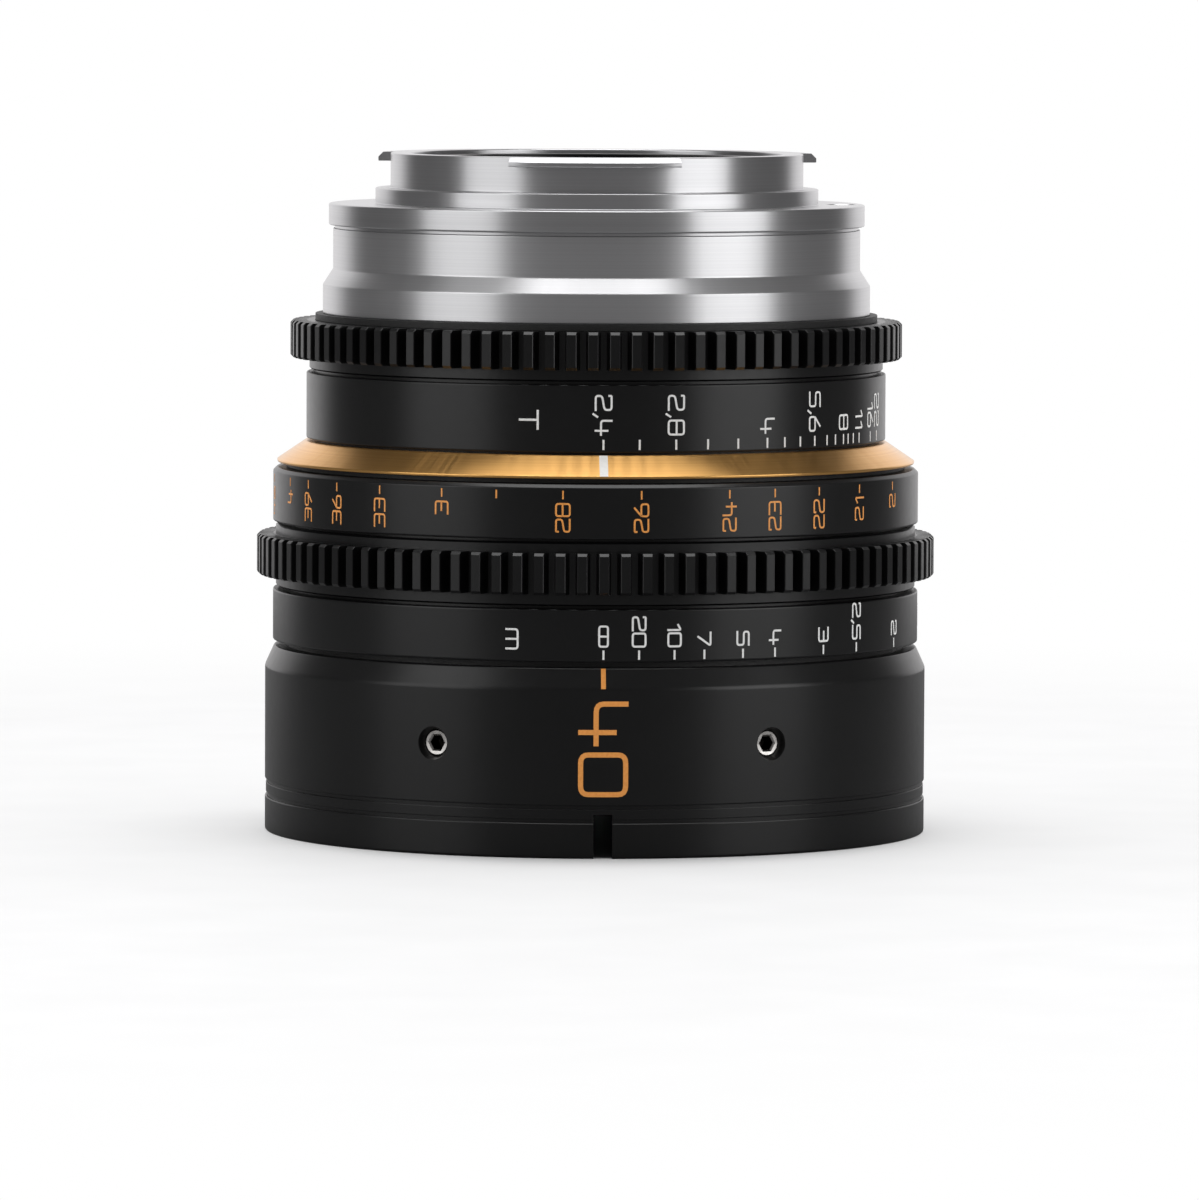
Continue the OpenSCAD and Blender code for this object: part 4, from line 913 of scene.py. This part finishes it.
dist_face = [(dist_low, BAND_R), (dist_high, BAND_R)]
metric = [(["oo"], 0.0)] + [(list(text), focus_angle(float(text.replace(",", ".")))) for text in
                            "20 10 7 5 4 3 2,5 2 1,5 1,2 1 0,9 0,8 0,7 0,6".split()]
parts = [tick_part(dist_face, INDEX + angle, dist_low + 0.3, dist_low + 1.4, LINE) for _, angle in metric]
for figures, angle in metric:
    parts += text_parts(figures, METRE_CAP, LINE, dist_face, INDEX + angle, dist_low + 1.85, wide=METRE_WIDE)
parts += text_parts(["m"], UNIT_CAP, LINE, dist_face, INDEX + UNIT_ANGLE, dist_low + 1.5)
settle(build("metric_scale", parts, white_paint), "focus_ring", "black_anodised")

far_face = [(far_low, BAND_R), (sleeve_high, BAND_R)]
feet = [(text, focus_angle(float(text) * FOOT)) for text in "50 30 20 15 12 10 8 7 6 5 4 3 2".split()]
feet += [(text, focus_angle((int(text[0]) + int(text[1]) / 12) * FOOT)) for text in
         "46 39 36 33 28 26 24 23 22 21".split()]
bare = [focus_angle(inches / 12 * FOOT) for inches in (34, 22)]
parts = [tick_part(far_face, INDEX + FEET_TURN + angle, sleeve_high - 0.75, sleeve_high - 1.75, FEET_TICK)
         for angle in [angle for _, angle in feet] + bare]
for text, angle in feet:
    parts += text_parts(list(text), FEET_CAP, FEET_LINE, far_face, INDEX + FEET_TURN + angle,
                        sleeve_high - 2.3, down=False)
settle(build("feet_scale", parts, orange_paint), "focus_ring", "black_anodised")

# %% [markdown]
# The iris scale is on both sides, with smaller steps marked between its figures. The index lines and the
# focal length are on the fixed barrel, so the figures of the rings pass them.

# %% Iris scales, one on each side
STOPS = {"2,4": 0, "2,8": 14.2, "4": 33.9, "5,6": 46.4, "8": 55.9, "11": 62.4, "16": 68.3, "22": 72.5}
THIRDS = [7.0, 20.7, 27.2, 38.2, 42.3, 50.2, 53.0, 57.7, 59.8]
STOP_CAP, SIGN_CAP, SIGN_LINE, SIGN_ANGLE = 1.87, 2.15, LINE * 1.1, -14.5
iris_face = [(iris_low, IRIS_R), (iris_step, IRIS_R)]
parts = []
for side in SIDES:
    for angle in list(STOPS.values()) + THIRDS:
        parts.append(tick_part(iris_face, INDEX + side + angle, iris_low + 0.35, iris_low + 1.55, LINE))
    for text, angle in STOPS.items():
        parts += text_parts(list(text), STOP_CAP, LINE, iris_face, INDEX + side + angle, iris_low + 2.15)
    parts += text_parts(["T"], SIGN_CAP, SIGN_LINE, iris_face, INDEX + side + SIGN_ANGLE, iris_low + 2.8)
settle(build("iris_scale", parts, white_paint), "iris_ring", "black_anodised")

# %% Index lines and the focal length
INDEX_LINE, FOCAL_TICK, FOCAL_CAP, FOCAL_LINE, FOCAL_END = 1.0, 0.56, 5.3, 0.6, 7.6
cone_face = [(INDEX_FOOT, INDEX_R), (index_high, INDEX_END_R)]
lines = [tick_part(cone_face, INDEX + side, INDEX_FOOT + 0.02, index_high, INDEX_LINE) for side in SIDES]
settle(build("index_lines", lines, index_paint), "fixed_barrel", "gold_anodised")

taper_low = BARREL_TOP - TAPER_H
front_face = [(RIM_TOP, FRONT_R), (taper_low, FRONT_R), (BARREL_TOP, BARREL_END)]
parts = [tick_part(front_face, INDEX, BARREL_TOP - 0.05, taper_low + 0.02, FOCAL_TICK)]
parts += text_parts(["4", "0"], FOCAL_CAP, FOCAL_LINE, front_face, INDEX, FOCAL_END)
settle(build("focal_length_marks", parts, orange_paint), "fixed_barrel", "black_anodised")

# %% [markdown]
# What is left is inside: barrels, cells, cam ring, iris and glass. Their CAD shapes are right, so they
# stay as they are and only get a finish for the slot that the record gives them.

# %% Finishes for the CAD nodes inside
inner_alloy = plain_finish(
    "inner_alloy", (0.5, 0.5, 0.51), (0.58, 0.58, 0.59), (0.28, 0.4), 1500.0, 3e-6, Metallic=1.0)
inner_brass = plain_finish(
    "inner_brass", (0.56, 0.39, 0.15), (0.66, 0.48, 0.2), (0.28, 0.38), 1500.0, 3e-6, Metallic=1.0)
INNER = {
    "black_anodised": light_trap, "plain_aluminium": inner_alloy, "screw_steel": steel,
    "pin_steel": pin_steel, "mount_steel": pin_steel, "gold_anodised": inner_brass,
    "cam_brass": inner_brass, "washer_plastic": washer_black, "blade_steel": blade_coat,
    "coated_glass": inner_glass}
OWN = {"front_element": front_glass, "rear_element": rear_glass}
left_showing = {name: obj for name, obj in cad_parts.items() if not obj.hide_render}
for name, obj in left_showing.items():
    surface = obj.material_slots[0]
    surface.material = OWN.get(name, INNER[surface.material.name.split(".")[0]])
print("CAD nodes with a finish:", len(left_showing))

# %% [markdown]
# The set: a pale table top that fades into a white background. Right by the lens the table keeps its
# shading and shadow. A little further out the camera sees part white painted in, a painted light that
# lightens the table's shadow, and further out still it is plain white for the camera. In reflections it
# has a quarter of its brightness, so that the lower edges of the rings stay dark.

# %% Table
TABLE_RADII = [0.0, 60, 120, 200, 300, 450]
STRETCH, REFLECTION_LOST, WHITE = (1.25, 1, 0), 0.75, (1, 1, 1, 1)
# the first fade mixes white into the table for the camera beside the lens, painted light over its shadow
FADES = (0.040, 0.054, 0.38), (0.08, 0.34, 1.0)  # from and to, in metres from the axis, and how much

paper, tree, shader = new_finish("table_paper", Roughness=0.65, Specular_IOR_Level=0.2)
spot = own_place(tree)
fibre = two_tone(tree, noise(tree, spot, 60.0), (0.63, 0.63, 0.635), (0.66, 0.66, 0.665))
wire(tree, shader, Base_Color=fibre)
out_from_lens = across_axis(tree, spot, STRETCH)[1]
steps = [ramp(tree, out_from_lens, start, stop, 0.0, most) for start, stop, most in FADES]
ray = add(tree, "ShaderNodeLightPath")
seen = arithmetic(tree, "MULTIPLY", arithmetic(tree, "MAXIMUM", *steps), ray.outputs["Is Camera Ray"])
white = add(tree, "ShaderNodeEmission", Color=WHITE, Strength=1.0)
faded = mix_shader(tree, seen, shader.outputs["BSDF"], white.outputs["Emission"])
lost = arithmetic(tree, "MULTIPLY", ray.outputs["Is Glossy Ray"], REFLECTION_LOST)
dark = add(tree, "ShaderNodeEmission", Color=WHITE, Strength=0.0)
dimmed = mix_shader(tree, lost, faded, dark.outputs["Emission"])
wire(tree, tree.nodes["Material Output"], Surface=dimmed)

sheet = turned_grid(np.column_stack([TABLE_RADII, np.zeros(len(TABLE_RADII))]), 64)
table = build("table", [grid_part(sheet, wrap_rows=False)], paper, merge=True)
table.data.flip_normals()
print("table", len(table.data.polygons), "faces")

# %% [markdown]
# Light: two tall soft boxes at the sides, a wide one above, and white paper behind. Metal shows what
# stands round it, so the side towards the camera stays dark: that gives the bright bands beside a
# grey middle. The world is white for the camera, and gives reflections the same studio by direction:
# bright behind the lens, dark in front. Matt surfaces get their light from the back and the side walls.

# %% World
BEHIND, IN_FRONT = (0.6, 0.85, 0.12, 1.0), (-0.8, -0.45, 0.06, 0.0)  # direction from and to, then light
BACK_WALL, SIDE_WALLS = (-0.3, 0.7, 0.1, 1.5), (0.35, 0.9, 0.0, 0.5)
world = bpy.data.worlds.new("studio")
bpy.context.scene.world = world
world.use_nodes = True
tree = world.node_tree
tree.nodes.clear()
compass = add(tree, "ShaderNodeTexCoord").outputs["Generated"]
axis = add(tree, "ShaderNodeSeparateXYZ", Vector=compass)
depth = axis.outputs["Y"]
mirrored = arithmetic(tree, "ADD", ramp(tree, depth, *BEHIND), ramp(tree, depth, *IN_FRONT))
beside = ramp(tree, arithmetic(tree, "ABSOLUTE", axis.outputs["X"]), *SIDE_WALLS)
lit = arithmetic(tree, "ADD", ramp(tree, depth, *BACK_WALL), beside)
studio = add(tree, "ShaderNodeBackground", Color=(1, 0.985, 0.99, 1), Strength=mirrored)
walls = add(tree, "ShaderNodeBackground", Color=WHITE, Strength=lit)
screen = add(tree, "ShaderNodeBackground", Color=WHITE, Strength=1.0)
ray = add(tree, "ShaderNodeLightPath")
mirror = arithmetic(tree, "MAXIMUM", ray.outputs["Is Glossy Ray"], ray.outputs["Is Transmission Ray"])
room = mix_shader(tree, mirror, walls.outputs["Background"], studio.outputs["Background"])
shown = mix_shader(tree, ray.outputs["Is Camera Ray"], room, screen.outputs["Background"])
add(tree, "ShaderNodeOutputWorld", Surface=shown)
print("world with", len(tree.nodes), "nodes")

# %% Soft boxes
def soft_box(name, stand, target, size, glow):
    """An area lamp at a stand, facing a target. Its power is glow pi width height, so that a mirror
    would show it as bright as glow."""
    lamp = bpy.data.lights.new(name, "AREA")
    lamp.shape, lamp.size, lamp.size_y = "RECTANGLE", size[0], size[1]
    lamp.energy = glow * math.pi * size[0] * size[1]
    obj = bpy.data.objects.new(name, lamp)
    bpy.context.scene.collection.objects.link(obj)
    obj.location = stand
    obj.rotation_euler = (Vector(target) - Vector(stand)).to_track_quat("-Z", "Y").to_euler()
    obj.visible_camera = False


BOX_FAR, BOX_WIDE = 0.7, 0.46
for name, degrees, tall, glow in (("soft_box_left", -61, 0.75, 1.6), ("soft_box_right", 57, 0.45, 2.3)):
    bearing = math.radians(degrees)
    stand = (BOX_FAR * math.sin(bearing), -BOX_FAR * math.cos(bearing), tall / 2)
    soft_box(name, stand, (0, 0, tall / 2), (BOX_WIDE, tall), glow)
soft_box("soft_box_top", (0, -0.03, 0.9), (0, -0.03, 0), (0.7, 0.78), 3.75)
print("three soft boxes")

# %% [markdown]
# The camera stands 1.2 m away and a little above, with a long lens, so the rings show as flat ellipses
# and the barrel keeps its proportions.

# %% Camera
FAR, HEIGHT, AIM_Z, AIM_RIGHT = 1.2, 0.109, 0.0278, 0.00053
AZIMUTH, ROLL = math.radians(-1.5), math.radians(0.25)
lens = bpy.data.cameras.new("camera")
lens.sensor_fit, lens.sensor_height, lens.lens = "VERTICAL", 36.0, 297.5
lens.clip_start, lens.clip_end = 0.05, 50.0
camera = bpy.data.objects.new("camera", lens)
bpy.context.scene.collection.objects.link(camera)
right = Vector((math.cos(AZIMUTH), math.sin(AZIMUTH), 0))
camera.location = Vector((FAR * math.sin(AZIMUTH), -FAR * math.cos(AZIMUTH), HEIGHT)) + right * AIM_RIGHT
look = Vector((0, 0, AIM_Z)) + right * AIM_RIGHT - camera.location
turned_to = look.to_track_quat("-Z", "Y").to_matrix() @ Matrix.Rotation(ROLL, 3, "Z")
camera.rotation_euler = turned_to.to_euler()
bpy.context.scene.camera = camera
print("camera at", [round(v, 4) for v in camera.location])

bpy.context.scene.view_settings.view_transform = "Standard"
